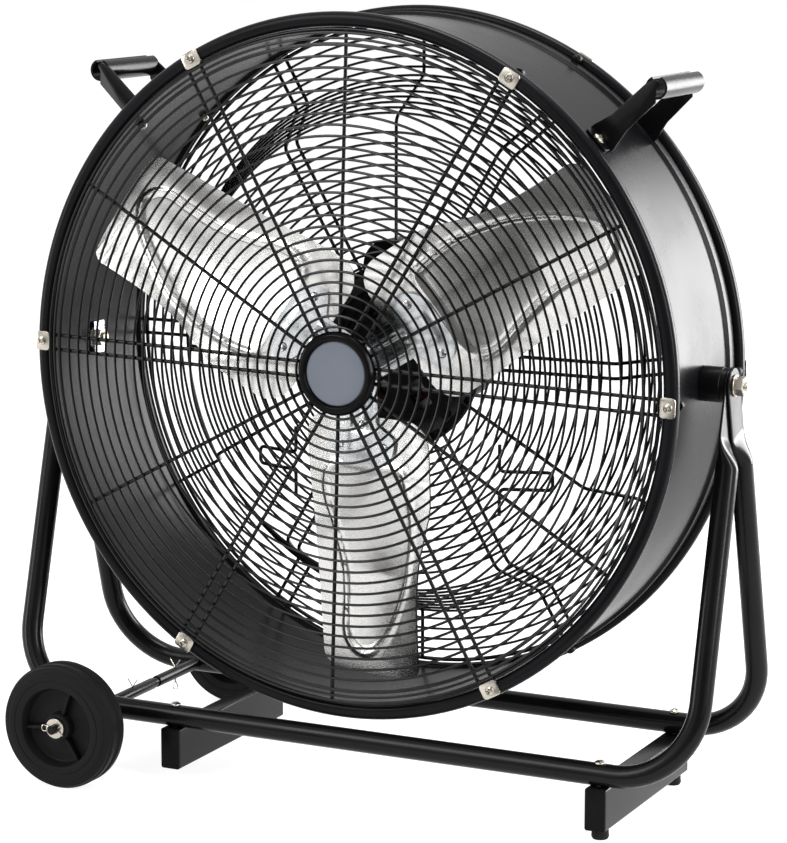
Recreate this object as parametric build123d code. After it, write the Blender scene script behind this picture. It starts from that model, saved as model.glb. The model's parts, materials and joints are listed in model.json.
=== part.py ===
from build123d import *
import math
import os

# Drum fan on a wheeled tilting stand. Millimetres, +Z up, air blows towards -Y.
# The origin is on the floor under the middle of the drum.

# ---- drum ----
drum_rim_radius = 330.0
drum_depth = 185.0
rim_bead_width = 14.0
rim_bead_height = 13.7
rim_bead_chamfer = 3.2
rim_bead_overhang = 8.5
drum_wall = 1.6

# ---- grilles ----
spoke_wire = 3.6
ring_wire = 2.6
rim_wire = 4.0
rim_gap = 0.3
ring_pitch = 17.5
ring_sides = 24
first_ring_radius = 44.0
last_ring_inset = 6.0
spoke_pair_spacing = 14.0
spoke_groups = 6
front_grille_turn = -1.5
front_hub_plate_radius = 32.0
single_spoke_inset = 16.0
dish_floor_y = 26.0
dish_mouth_inset = 49.0
dish_wall_run = 37.0
dish_ring_spacing = 15.0
rear_hub_ring_inner_radius = 68.0
rear_hub_ring_width = 14.0

# ---- badge in the middle of the front grille ----
badge_radius = 39.5
badge_height = 8.6
badge_disc_radius = 30.0
badge_disc_depth = 3.6
badge_floor = 2.2
badge_lip = 5.5

# ---- clips that hold the grilles ----
clip_circle_inset = 4.8
clip_length = 16.0
clip_width = 13.0
clip_thickness = 1.8
clip_corner = 3.0
clip_screw_radius = 1.8
clip_head_radius = 3.2
clip_head_height = 2.2
clip_cap_radius = 3.5
clip_cap_length = 8.0
clip_cap_wall = 1.5
clip_tail = 4.0
hole_clearance = 0.15
peg_sides = 8
barrel_sides = 24

# ---- carrying handles ----
handle_angle = 43.0
handle_front_inset = 50.5
handle_rear_inset = 30.5
handle_front_lean = 4.0
handle_rear_lean = 8.0
handle_reach = 69.5
handle_sheet = 2.2
handle_base_width = 29.0
handle_neck_width = 20.0
handle_neck_height = 24.0
handle_grip_radius = 10.5
handle_grip_overhang = 1.2
handle_grip_opening = 80.0
handle_foot_length = 14.0
handle_screw_radius = 2.5
handle_screw_head_radius = 5.0
handle_screw_head_height = 3.0
handle_nut_width = 8.0
handle_nut_height = 4.0

# ---- tilting pivots ----
pivot_bolt_radius = 5.0
pivot_running_gap = 0.06
side_play = 0.1
spacer_radius = 16.2
spacer_length = 24.5
pivot_head_width = 16.0
pivot_head_height = 5.0
pivot_washer_radius = 14.0
pivot_washer = 2.0
strap_length = 32.0
strap_width = 18.0
strap_thickness = 2.0
outer_washer_radius = 10.0
nut_width = 16.0
nut_height = 8.0
bolt_tail = 3.0

# ---- stand ----
wheel_radius = 60.5
drum_rail_drop = 18.5
frame_spread = 94.7
frame_tube_offset = 5.9
tube_radius = 10.5
tube_sides = 12
tube_bend_radius = 74.0
tab_width = 32.0
tab_thickness = 2.4
tab_length = 55.0
tab_blend = 16.0
member_width = 20.0
member_height = 40.0
member_wall = 1.6
member_end_reach = 9.8
left_member_inset = 100.0
right_member_inset = 14.0
member_cap = 2.5
member_plug = 6.0
foot_radius = 8.2
foot_inset = 12.0
frame_screw_radius = 2.5
frame_screw_head_radius = 5.0
frame_screw_head_height = 3.0
frame_screw_tail = 4.0

# ---- wheels and axle ----
axle_inset = 20.0
axle_radius = 4.5
sleeve_wall = 1.25
wheel_inner_y = 153.0
wheel_width = 32.0
wheel_recess_radius = 38.5
wheel_web = 7.0
wheel_boss_radius = 14.0
wheel_rib = 3.0
wheel_rib_height = 5.0
wheel_ribs = 3
wheel_running_gap = 0.06
axle_washer_radius = 9.7
axle_washer = 1.6
axle_tail = 6.5
axle_pin_radius = 1.0
axle_pin_length = 22.0
sleeve_gap = 8.0
sleeve_pin_y = 42.0
sleeve_pin_length = 30.0

# ---- fan ----
blade_count = 3
blade_first_angle = 31.5
blade_tip_radius = 298.0
blade_root_radius = 48.0
blade_flat_radius = 104.0
blade_middle_radius = 200.0
blade_sheet = 1.8
blade_root_chord = 152.0
blade_middle_chord = 127.0
blade_tip_chord = 116.0
blade_root_pitch = 16.0
blade_middle_pitch = 15.5
blade_tip_pitch = 14.5
blade_middle_camber = 9.0
blade_tip_camber = 6.0
blade_root_corner = 26.0
blade_tip_corner = 12.0
fan_y = -45.0
spider_sheet = 3.0
spider_arm_width = 34.0
spider_pad_width = 76.0
spider_pad_length = 36.0
spider_pad_radius = 92.0
spider_pad_corner = 12.0
fan_boss_radius = 20.0
fan_boss_length = 38.0
rivet_radius = 2.5
rivet_head_radius = 4.6
rivet_head = 1.8
rivet_outer_radius = 76.0
rivet_inner_radius = 56.0
rivet_half_spacing = 28.0
set_screw_radius = 3.0
shaft_radius = 6.0
shaft_fit = 0.05

# ---- motor and control box ----
motor_plate_radius = 88.0
motor_plate = 2.5
motor_radius = 66.0
motor_depth = 49.0
motor_wall = 2.5
motor_vents = 6
motor_vent_width = 18.0
motor_vent_inner_radius = 30.0
motor_vent_outer_radius = 58.0
bearing_radius = 14.0
bearing_width = 9.0
bearing_seat_wall = 3.5
stator_bore = 34.0
stator_depth = 26.0
rotor_air_gap = 0.8
plate_screw_count = 4
plate_screw_circle = 76.0
plate_screw_radius = 2.5
plate_screw_head_radius = 4.8
plate_screw_head = 3.0
control_box_width = 124.0
control_box_depth = 42.0
control_box_top = 103.0
control_box_bottom = -50.0
control_box_corner = 26.0
knob_radius = 17.0
knob_grip_radius = 9.0
knob_height = 17.0
knob_base = 4.0
knob_z = 42.0
knob_shaft_radius = 3.0
knob_shaft_depth = 11.0
knob_gap = 0.4
gland_radius = 8.0
gland_length = 14.0
gland_bore = 4.0

# ---- hooks for winding the cord ----
hook_wire_radius = 1.8
hook_foot_x = 109.0
hook_foot_z = -113.0
hook_leg_spacing = 17.0
hook_length = 48.0
hook_lift = 16.0
hook_foot = 26.0

# ---- worked out ----
half_depth = drum_depth / 2
axle_height = wheel_radius
pivot_drop = drum_rim_radius + drum_rail_drop
pivot_height = axle_height + pivot_drop
lean = math.degrees(math.atan2(frame_spread, pivot_drop))
frame_height = math.hypot(frame_spread, pivot_drop)
member_length = 2 * (frame_spread + member_end_reach)
drum_wall_radius = drum_rim_radius - rim_bead_overhang
drum_inner_radius = drum_wall_radius - drum_wall
clip_circle_radius = drum_rim_radius - clip_circle_inset
handle_front_y = handle_front_inset - half_depth
handle_rear_y = half_depth - handle_rear_inset
bead_inner_radius = drum_rim_radius - rim_bead_height
rim_ring_outer = bead_inner_radius - rim_gap
rim_ring_inner = rim_ring_outer - rim_wire
last_front_ring_radius = rim_ring_inner - last_ring_inset
single_spoke_end_radius = rim_ring_inner - single_spoke_inset
dish_mouth_radius = rim_ring_inner - dish_mouth_inset
dish_floor_radius = dish_mouth_radius - dish_wall_run
spoke_back_y = -half_depth
spoke_front_y = spoke_back_y - spoke_wire
tab_start_x = drum_wall_radius + spacer_length + side_play
frame_half_span = tab_start_x + frame_tube_offset
bend_start_x = frame_half_span - tube_bend_radius
right_member_x = bend_start_x - right_member_inset
left_member_x = left_member_inset - bend_start_x
axle_x = axle_inset - bend_start_x
sleeve_radius = axle_radius + sleeve_wall
wheel_outer_y = wheel_inner_y + wheel_width
axle_half_length = wheel_outer_y + side_play + axle_washer + axle_tail
foot_height = axle_height - tube_radius - member_height
member_top = axle_height - tube_radius
plate_y = dish_floor_y + spoke_wire / 2
bell_y = plate_y + motor_plate
motor_rear_y = bell_y + motor_depth
box_rear_y = motor_rear_y + control_box_depth
clip_y = half_depth + clip_thickness
lift = Pos(0, 0, pivot_height)


def y_rod(radius, start, end, x=0.0, z=0.0):
    """Round bar along Y."""
    return Pos(x, (start + end) / 2, z) * Rot(-90, 0, 0) * Cylinder(radius, abs(end - start))


def x_rod(radius, start, end, y=0.0, z=0.0):
    """Round bar along X."""
    return Pos((start + end) / 2, y, z) * Rot(0, 90, 0) * Cylinder(radius, abs(end - start))


def z_rod(radius, start, end, x=0.0, y=0.0):
    """Round bar along Z."""
    return Pos(x, y, (start + end) / 2) * Cylinder(radius, abs(end - start))


def peg(radius, start, end, grow=0.0):
    """Small fastener's bar along Z, or the hole for it when grow is its clearance: eight flat sides."""
    outer = radius if grow == 0 else (radius + grow) / math.cos(math.pi / peg_sides)
    return Pos(0, 0, min(start, end)) * extrude(RegularPolygon(outer, peg_sides), abs(end - start))


def peg_y(radius, start, end, x=0.0, z=0.0, grow=0.0):
    """Small fastener's bar along Y."""
    return Pos(x, 0, z) * Rot(-90, 0, 0) * peg(radius, start, end, grow)


def peg_z(radius, start, end, x=0.0, y=0.0, grow=0.0):
    """Small fastener's bar along Z at a place."""
    return Pos(x, y, 0) * peg(radius, start, end, grow)


def peg_x(radius, start, end, y=0.0, z=0.0, grow=0.0):
    """Small fastener's bar along X."""
    return Pos(0, y, z) * Rot(0, 90, 0) * peg(radius, start, end, grow)


def barrel_x(radius, bore, start, end):
    """Tube along X with flat sides that all lie outside its bore and inside its radius."""
    wide = RegularPolygon(radius, barrel_sides)
    hole = RegularPolygon(bore / math.cos(math.pi / barrel_sides), barrel_sides)
    return Pos(min(start, end), 0, 0) * Rot(0, 90, 0) * extrude(wide - hole, abs(end - start))


def barrel_y(radius, bore, start, end, x=0.0, z=0.0):
    """The same tube along Y."""
    return Pos(x, 0, z) * Rot(0, 0, 90) * barrel_x(radius, bore, start, end)


def turned(points):
    """Body turned about the fan's axis from (radius, y) points."""
    return revolve(make_face(Polyline(*points, close=True)), Axis.Y)


def around(angle):
    """Turn about the fan's axis, counted from +X towards +Z."""
    return Rot(0, -angle, 0)


def hexagon_x(width, start, end):
    """Hexagonal bar along X."""
    length = abs(end - start)
    bar = extrude(RegularPolygon(width / math.sqrt(3), 6), length)
    return Pos(min(start, end), 0, 0) * Rot(0, 90, 0) * bar


def group(solids):
    """Several separate solids kept in one node."""
    return Compound([part for item in solids for part in item.solids()])


def mirror_x(part):
    return mirror(part, Plane.YZ)


def mirror_y(part):
    return mirror(part, Plane.XZ)


def save(part, name):
    export_step(part, f"parts/{name}.step")


# ---- drum body ----
def clip_places(side):
    """Turns that put a clip or its screw at each end of the paired spokes of one grille."""
    start = front_grille_turn if side < 0 else 0.0
    return [around(start + index * 360 / spoke_groups) for index in range(spoke_groups)]


def make_drum_shell():
    front = -half_depth
    back = half_depth
    bevel = rim_bead_chamfer
    profile = [
        (bead_inner_radius, front),
        (drum_rim_radius - bevel, front),
        (drum_rim_radius, front + bevel),
        (drum_rim_radius, front + rim_bead_width),
        (drum_wall_radius, front + rim_bead_width),
        (drum_wall_radius, back - rim_bead_width),
        (drum_rim_radius, back - rim_bead_width),
        (drum_rim_radius, back - bevel),
        (drum_rim_radius - bevel, back),
        (bead_inner_radius, back),
        (bead_inner_radius, back - rim_bead_width),
        (drum_inner_radius, back - rim_bead_width),
        (drum_inner_radius, front + rim_bead_width),
        (bead_inner_radius, front + rim_bead_width),
    ]
    shell = turned(profile)
    reach = half_depth + 1
    bead_back = half_depth - rim_bead_width - 1
    clip_holes = [
        place * peg_y(clip_screw_radius, side * reach, side * bead_back, clip_circle_radius, 0, hole_clearance)
        for side in (-1, 1)
        for place in clip_places(side)
    ]
    handle_holes = [
        place * peg_z(handle_screw_radius, drum_inner_radius - 8, drum_wall_radius + 8, 0, y, hole_clearance)
        for place in handle_places()
        for y in handle_screw_ys()
    ]
    hole_start = drum_inner_radius - 10
    hole_end = drum_wall_radius + 10
    pivot_holes = [x_rod(pivot_bolt_radius + hole_clearance, side * hole_start, side * hole_end) for side in (-1, 1)]
    return shell - clip_holes - handle_holes - pivot_holes


def handle_screw_ys():
    foot_middle = handle_sheet / 2 + handle_foot_length / 2
    return (handle_front_y - foot_middle, handle_rear_y + foot_middle)


def wire_ring(radius, base_y, tip_y):
    """Closed ring of wire with a three-sided section and straight sides as far out as the radius."""
    step = 2 * math.pi / ring_sides
    stretch = 1 / math.cos(step / 2)
    corners = []
    for index in range(ring_sides + 1):
        angle = (index + 0.5) * step
        direction = (math.cos(angle) * stretch, math.sin(angle) * stretch)
        spots = ((radius - ring_wire / 2, base_y), (radius + ring_wire / 2, base_y), (radius, tip_y))
        corners.append([Vector(r * direction[0], y, r * direction[1]) for r, y in spots])
    faces = []
    for here, there in zip(corners[:-1], corners[1:]):
        for first, second in ((0, 1), (1, 2), (2, 0)):
            edge = [here[first], here[second], there[second], there[first]]
            faces.append(Face(Wire.make_polygon(edge, close=True)))
    ring = Solid(Shell(faces))
    if ring.volume < 0:
        ring = Solid(Shell([-face for face in faces]))
    return ring


def spoke_offsets(start):
    """Turn, sideways offset and pairing of every radial wire."""
    spokes = []
    step = 360 / spoke_groups
    for index in range(spoke_groups):
        spokes.append((start + index * step, spoke_pair_spacing / 2, True))
        spokes.append((start + index * step, -spoke_pair_spacing / 2, True))
        spokes.append((start + index * step + step / 2, 0.0, False))
    return spokes


def make_front_grille_frame():
    rim = turned([
        (rim_ring_inner, spoke_back_y),
        (rim_ring_outer, spoke_back_y),
        (rim_ring_outer, spoke_back_y + rim_wire),
        (rim_ring_inner, spoke_back_y + rim_wire),
    ])
    hub = y_rod(front_hub_plate_radius, spoke_front_y, spoke_back_y)
    frame = rim + hub
    inner = front_hub_plate_radius * 0.7
    for angle, offset, paired in spoke_offsets(front_grille_turn):
        outer = rim_ring_inner + rim_wire / 2 if paired else single_spoke_end_radius
        bar = Box(outer - inner, spoke_wire, spoke_wire)
        middle = (spoke_front_y + spoke_back_y) / 2
        frame += around(angle) * Pos((inner + outer) / 2, middle, offset) * bar
    return frame


def make_front_grille_rings():
    count = int((last_front_ring_radius - first_ring_radius) / ring_pitch) + 1
    return group([
        wire_ring(first_ring_radius + index * ring_pitch, spoke_front_y, spoke_front_y - ring_wire)
        for index in range(count)
    ])


def make_badge_ring():
    back = spoke_front_y
    front = back - badge_height
    floor = back - badge_floor
    seat = badge_disc_radius + hole_clearance
    return turned([
        (0, back),
        (badge_radius, back),
        (badge_radius - badge_lip / 3, front),
        (seat + badge_lip / 3, front),
        (seat, front + badge_lip / 2),
        (seat, floor),
        (0, floor),
    ])


def make_badge_disc():
    floor = spoke_front_y - badge_floor
    return y_rod(badge_disc_radius, floor - badge_disc_depth, floor)


def make_clips(side):
    hole = peg_y(clip_screw_radius, 0, clip_thickness, 0, 0, hole_clearance)
    plate = extrude(chamfer(Rectangle(clip_length, clip_width).vertices(), clip_corner), clip_thickness)
    plate = Rot(90, 0, 0) * plate
    inset = clip_length / 2 - (drum_rim_radius - clip_circle_radius)
    clip = Pos(-inset, clip_thickness, 0) * plate - hole
    start = half_depth if side > 0 else -half_depth - clip_thickness
    return group([place * Pos(clip_circle_radius, start, 0) * clip for place in clip_places(side)])


def cap_start():
    return half_depth - rim_bead_width


def make_clip_screws():
    tip = cap_start() - clip_tail
    screw = peg_y(clip_head_radius, clip_y, clip_y + clip_head_height, clip_circle_radius)
    screw += peg_y(clip_screw_radius, tip, clip_y, clip_circle_radius)
    front = [place * mirror_y(screw) for place in clip_places(-1)]
    return group(front + [place * screw for place in clip_places(1)])


def make_clip_caps():
    mouth = cap_start()
    closed_end = mouth - clip_cap_length + clip_cap_wall
    cap = peg_y(clip_cap_radius, mouth - clip_cap_length, mouth, clip_circle_radius)
    cap -= peg_y(clip_screw_radius, closed_end, mouth, clip_circle_radius, 0, hole_clearance)
    front = [place * mirror_y(cap) for place in clip_places(-1)]
    return group(front + [place * cap for place in clip_places(1)])


def dish_profile(inner_radius, outer_radius):
    """Middle line of a rear spoke as (radius, y) points."""
    mouth_y = half_depth - rim_wire - spoke_wire / 2
    points = [
        (inner_radius, dish_floor_y),
        (dish_floor_radius, dish_floor_y),
        (dish_mouth_radius, mouth_y),
        (outer_radius, mouth_y),
    ]
    return points


def make_rear_grille_frame():
    rim_front = half_depth - rim_wire
    rim = turned([
        (rim_ring_inner, rim_front),
        (rim_ring_outer, rim_front),
        (rim_ring_outer, half_depth),
        (rim_ring_inner, half_depth),
    ])
    hub_outer = rear_hub_ring_inner_radius + rear_hub_ring_width
    hub = turned([
        (rear_hub_ring_inner_radius, dish_floor_y - spoke_wire / 2),
        (hub_outer, dish_floor_y - spoke_wire / 2),
        (hub_outer, plate_y),
        (rear_hub_ring_inner_radius, plate_y),
    ])
    for index in range(plate_screw_count):
        hub -= plate_screw_place(index) * plate_screw_hole()
    frame = rim + hub
    inner = hub_outer - 3
    for angle, offset, paired in spoke_offsets(0.0):
        outer = rim_ring_inner + rim_wire / 2 if paired else single_spoke_end_radius
        line = dish_profile(inner, outer)
        strip = offset_strip(line, spoke_wire)
        frame += around(angle) * Pos(0, 0, offset) * strip
    return frame


def offset_strip(line, width):
    """Bar of square section that follows a bent line in the XY plane."""
    sketch = make_face(strip_outline(line, width / 2))
    return extrude(sketch, width / 2, both=True)


def strip_outline(line, half):
    """Closed outline at a constant distance each side of a bent line."""
    left = []
    right = []
    for index, (x, y) in enumerate(line):
        before = line[max(index - 1, 0)]
        after = line[min(index + 1, len(line) - 1)]
        into = math.atan2(y - before[1], x - before[0]) if index > 0 else None
        out = math.atan2(after[1] - y, after[0] - x) if index < len(line) - 1 else None
        into = out if into is None else into
        out = into if out is None else out
        turn = (out - into) / 2
        heading = (into + out) / 2
        reach = half / math.cos(turn)
        side = (-math.sin(heading) * reach, math.cos(heading) * reach)
        left.append((x + side[0], y + side[1]))
        right.append((x - side[0], y - side[1]))
    return Polyline(*left, *reversed(right), close=True)


def make_rear_grille_rings():
    floor_base = dish_floor_y - spoke_wire / 2
    mouth_base = half_depth - rim_wire - spoke_wire
    rings = []
    radius = rear_hub_ring_inner_radius + rear_hub_ring_width + ring_pitch
    while radius < dish_floor_radius - ring_wire:
        rings.append(wire_ring(radius, floor_base, floor_base - ring_wire))
        radius += ring_pitch
    rise = mouth_base - floor_base
    run = dish_mouth_radius - dish_floor_radius
    slant = math.hypot(rise, run)
    steps = int(slant / dish_ring_spacing)
    out = spoke_wire / 2 + 0.02
    for index in range(1, steps + 1):
        share = index / (steps + 1)
        touch_radius = dish_floor_radius + share * run + out * rise / slant
        touch_y = dish_floor_y + share * rise - out * run / slant
        rings.append(wire_ring(touch_radius + ring_wire / 2, touch_y, touch_y - ring_wire))
    radius = dish_mouth_radius + ring_pitch / 2
    while radius < rim_ring_inner - ring_wire:
        rings.append(wire_ring(radius, mouth_base, mouth_base - ring_wire))
        radius += ring_pitch
    return group(rings)


def make_cord_hooks():
    half = hook_leg_spacing / 2
    rise = dish_floor_y - spoke_wire / 2 + hook_wire_radius + 0.02
    length = hook_length
    points = [
        (0, rise, half + hook_foot),
        (0, rise, half),
        (length, rise + hook_lift, half),
        (length, rise + hook_lift, -half),
        (0, rise, -half),
        (0, rise, -half - hook_foot),
    ]
    path = Polyline(*points)
    section = Plane(origin=path @ 0, z_dir=path % 0) * RegularPolygon(hook_wire_radius, peg_sides)
    hook = sweep(section, path, transition=Transition.RIGHT)
    right = Pos(hook_foot_x, 0, hook_foot_z) * hook
    return group([right, mirror_x(right)])


def make_handle():
    """Handle standing on the top of the drum, before it is turned to its place."""
    base = drum_wall_radius + side_play
    grip_z = drum_wall_radius + handle_reach
    neck_z = base + handle_neck_height
    outline = Polyline(
        (-handle_base_width / 2, base),
        (handle_base_width / 2, base),
        (handle_neck_width / 2, neck_z),
        (handle_neck_width / 2, grip_z),
        (-handle_neck_width / 2, grip_z),
        (-handle_neck_width / 2, neck_z),
        close=True,
    )
    leg = extrude(Plane.XZ * make_face(outline), handle_sheet / 2, both=True)
    grip_start = handle_front_y + handle_front_lean - handle_grip_overhang
    grip_end = handle_rear_y - handle_rear_lean + handle_grip_overhang
    bar = y_rod(handle_grip_radius, grip_start, grip_end, 0, grip_z)
    bore = y_rod(handle_grip_radius - handle_sheet, grip_start - 1, grip_end + 1, 0, grip_z)
    front_turn = math.degrees(math.atan2(handle_front_lean, handle_reach))
    rear_turn = math.degrees(math.atan2(handle_rear_lean, handle_reach))
    legs = Pos(0, handle_front_y, base) * Rot(-front_turn, 0, 0) * Pos(0, 0, -base) * leg
    legs += Pos(0, handle_rear_y, base) * Rot(rear_turn, 0, 0) * Pos(0, 0, -base) * leg
    slot_width = 2 * handle_grip_radius * math.sin(math.radians(handle_grip_opening / 2))
    slot = Pos(0, (grip_start + grip_end) / 2, grip_z - handle_grip_radius)
    slot *= Box(slot_width, grip_end - grip_start + 2, handle_grip_radius)
    foot = Box(handle_base_width - 3, handle_foot_length + handle_sheet / 2, handle_sheet)
    shift = (handle_foot_length + handle_sheet / 2) / 2
    feet = Pos(0, handle_front_y - shift, base + handle_sheet / 2) * foot
    feet += Pos(0, handle_rear_y + shift, base + handle_sheet / 2) * foot
    handle = (bar - bore - slot) + (legs - bore) + feet
    for y in handle_screw_ys():
        handle -= peg_z(handle_screw_radius, base - 1, base + handle_sheet + 1, 0, y, hole_clearance)
    return handle


def handle_places():
    """Turns that carry something from the top of the drum to each handle."""
    return [around(handle_angle - 90), around(90 - handle_angle)]


def make_handle_screws():
    seat = drum_wall_radius + side_play + handle_sheet
    tip = drum_inner_radius - handle_nut_height - 1.5
    screw = peg_z(handle_screw_head_radius, seat, seat + handle_screw_head_height)
    screw += peg_z(handle_screw_radius, tip, seat)
    return group([place * Pos(0, y, 0) * screw for place in handle_places() for y in handle_screw_ys()])


def make_handle_nuts():
    sagitta = drum_inner_radius - math.sqrt(drum_inner_radius ** 2 - (handle_nut_width / 2) ** 2)
    top = drum_inner_radius - sagitta - side_play
    nut = extrude(RegularPolygon(handle_nut_width / math.sqrt(3), 6), handle_nut_height)
    nut -= peg(handle_screw_radius, -1, handle_nut_height + 1, hole_clearance)
    nut = Pos(0, 0, top - handle_nut_height) * nut
    return group([place * Pos(0, y, 0) * nut for place in handle_places() for y in handle_screw_ys()])


# ---- pivots ----
def pivot_inner_face():
    """X of the flat place for the washer inside the curved wall."""
    return math.sqrt(drum_inner_radius ** 2 - pivot_washer_radius ** 2) - side_play


def both_sides(part):
    return group([part, mirror_x(part)])


def make_pivot_spacers():
    bore = pivot_bolt_radius + hole_clearance
    return both_sides(barrel_x(spacer_radius, bore, drum_wall_radius + 0.02, drum_wall_radius + spacer_length))


def tabs_end_x():
    return tab_start_x + 2 * tab_thickness + 2 * side_play


def make_pivot_washers():
    face = pivot_inner_face()
    return both_sides(barrel_x(pivot_washer_radius, pivot_bolt_radius + hole_clearance, face - pivot_washer, face))


def make_pivot_straps():
    face = pivot_inner_face() - pivot_washer
    strap = Pos(face - strap_thickness / 2, 0, 0) * Box(strap_thickness, strap_width, strap_length)
    strap -= x_rod(pivot_bolt_radius + hole_clearance, face - strap_thickness - 1, face + 1)
    return both_sides(strap)


def make_pivot_bolts():
    seat = pivot_inner_face() - pivot_washer - strap_thickness
    tip = tabs_end_x() + pivot_washer + nut_height + bolt_tail
    bolt = hexagon_x(pivot_head_width, seat - pivot_head_height, seat)
    bolt += x_rod(pivot_bolt_radius, seat, tip)
    return both_sides(bolt)


def make_outer_washers():
    start = tabs_end_x()
    return both_sides(barrel_x(outer_washer_radius, pivot_bolt_radius + hole_clearance, start, start + pivot_washer))


def make_pivot_nuts():
    start = tabs_end_x() + pivot_washer
    nut = hexagon_x(nut_width, start, start + nut_height)
    nut -= x_rod(pivot_bolt_radius + hole_clearance, start - 1, start + nut_height + 1)
    return both_sides(nut)


# ---- stand ----
def tube_outline(plane):
    """Section of the bent tube."""
    step = 2 * math.pi / tube_sides
    corners = [(tube_radius * math.cos(i * step), tube_radius * math.sin(i * step)) for i in range(tube_sides)]
    return plane * Polygon(*corners, align=None)


def flat_outline(plane):
    """Section of the tube where it has been pressed flat, with the same number of corners."""
    step = 2 * math.pi / tube_sides
    corners = []
    for index in range(tube_sides):
        rise = math.sin(index * step)
        half = 0 if abs(rise) < 0.01 else math.copysign(tab_thickness / 2, rise)
        corners.append((tab_width / 2 * math.cos(index * step), half))
    return plane * Polygon(*corners, align=None)


def make_stand_frame(side, tab_x):
    """Bent tube with flattened ends, leaning to one side of the pivots."""
    tube_start = tab_length + tab_blend
    bend_start = frame_height - tube_bend_radius
    leg_top = Plane(origin=(frame_half_span, -tube_start, 0), z_dir=(0, -1, 0), x_dir=(0, 0, 1))
    leg_end = Plane(origin=(frame_half_span, -bend_start, 0), z_dir=(0, -1, 0), x_dir=(0, 0, 1))
    bar_end = Plane(origin=(bend_start_x, -frame_height, 0), z_dir=(-1, 0, 0), x_dir=(0, 0, 1))
    leg = extrude(tube_outline(leg_top), bend_start - tube_start)
    bend = revolve(tube_outline(leg_end), Axis((bend_start_x, -bend_start, 0), (0, 0, -1)), revolution_arc=90)
    bar = extrude(tube_outline(bar_end), 2 * bend_start_x)
    tab = Pos(tab_x, -tab_length / 2, 0) * Box(tab_thickness, tab_length, tab_width)
    tab += x_rod(tab_width / 2, tab_x - tab_thickness / 2, tab_x + tab_thickness / 2)
    tab -= x_rod(pivot_bolt_radius + pivot_running_gap, tab_x - tab_thickness, tab_x + tab_thickness)
    tab_end = Plane(origin=(tab_x, -tab_length, 0), z_dir=(0, -1, 0), x_dir=(0, 0, 1))
    blend = loft([flat_outline(tab_end), tube_outline(leg_top)], ruled=True)
    end = tab + blend + leg + bend
    frame = bar + end + mirror_x(end)
    frame = Pos(0, 0, pivot_height) * Rot(90 + side * lean, 0, 0) * frame
    for x in (left_member_x, right_member_x):
        frame -= frame_screw_hole(x, side)
    hole = y_rod(sleeve_radius + hole_clearance, 0, side * (frame_spread + 2 * tube_radius), axle_x, axle_height)
    return frame - hole


def frame_screw_hole(x, side):
    top = axle_height + tube_radius + 1
    return peg_z(frame_screw_radius, member_top - member_wall - 1, top, x, side * frame_spread, hole_clearance)


def make_cross_member(x):
    outer = Box(member_width, member_length, member_height)
    inner = Box(member_width - 2 * member_wall, member_length + 2, member_height - 2 * member_wall)
    member = Pos(x, 0, foot_height + member_height / 2) * (outer - inner)
    for side in (-1, 1):
        member -= frame_screw_hole(x, side)
    return member


def make_cross_member_caps():
    inner_width = member_width - 2 * member_wall - 2 * side_play
    inner_height = member_height - 2 * member_wall - 2 * side_play
    cap = Pos(0, -member_cap / 2, 0) * Box(member_width, member_cap, member_height)
    cap += Pos(0, member_plug / 2, 0) * Box(inner_width, member_plug, inner_height)
    caps = [Pos(x, -member_length / 2, foot_height + member_height / 2) * cap for x in (left_member_x, right_member_x)]
    return group(caps + [mirror_y(item) for item in caps])


def foot_y():
    return member_length / 2 - foot_inset


def make_rubber_feet():
    foot = z_rod(foot_radius, 0, foot_height, right_member_x, -foot_y())
    return group([foot, mirror_y(foot)])


def make_frame_screws():
    top = axle_height + tube_radius
    screw = peg_z(frame_screw_head_radius, top, top + frame_screw_head_height)
    screw += peg_z(frame_screw_radius, member_top - member_wall - frame_screw_tail, top)
    return group([Pos(x, side * frame_spread, 0) * screw for x in (left_member_x, right_member_x) for side in (-1, 1)])


# ---- wheels and axle ----
def make_axle_rod():
    rod = y_rod(axle_radius, -axle_half_length, axle_half_length, axle_x, axle_height)
    for side in (-1, 1):
        rod -= peg_x(axle_pin_radius, axle_x - 10, axle_x + 10, side * end_pin_y(), axle_height, hole_clearance)
        rod -= sleeve_pin_hole(side)
    return rod


def sleeve_pin_hole(side):
    low = axle_height - 10
    high = axle_height + 10
    return peg_z(axle_pin_radius, low, high, axle_x, side * sleeve_pin_y, hole_clearance)


def end_pin_y():
    return wheel_outer_y + side_play + axle_washer + axle_pin_radius + side_play


def make_axle_sleeve(side):
    start = side * sleeve_gap / 2
    end = side * (wheel_inner_y - side_play)
    sleeve = barrel_y(sleeve_radius, axle_radius + shaft_fit, start, end, axle_x, axle_height)
    return sleeve - sleeve_pin_hole(side)


def make_sleeve_pins():
    half = sleeve_pin_length / 2
    pin = peg_z(axle_pin_radius, axle_height - half, axle_height + half, axle_x, -sleeve_pin_y)
    return group([pin, mirror_y(pin)])


def make_axle_washers():
    start = wheel_outer_y + side_play
    washer = barrel_y(axle_washer_radius, axle_radius + shaft_fit, start, start + axle_washer, axle_x, axle_height)
    return group([washer, mirror_y(washer)])


def make_axle_pins():
    half = axle_pin_length / 2
    pin = peg_x(axle_pin_radius, axle_x - half, axle_x + half, end_pin_y(), axle_height)
    return group([pin, mirror_y(pin)])


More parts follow.
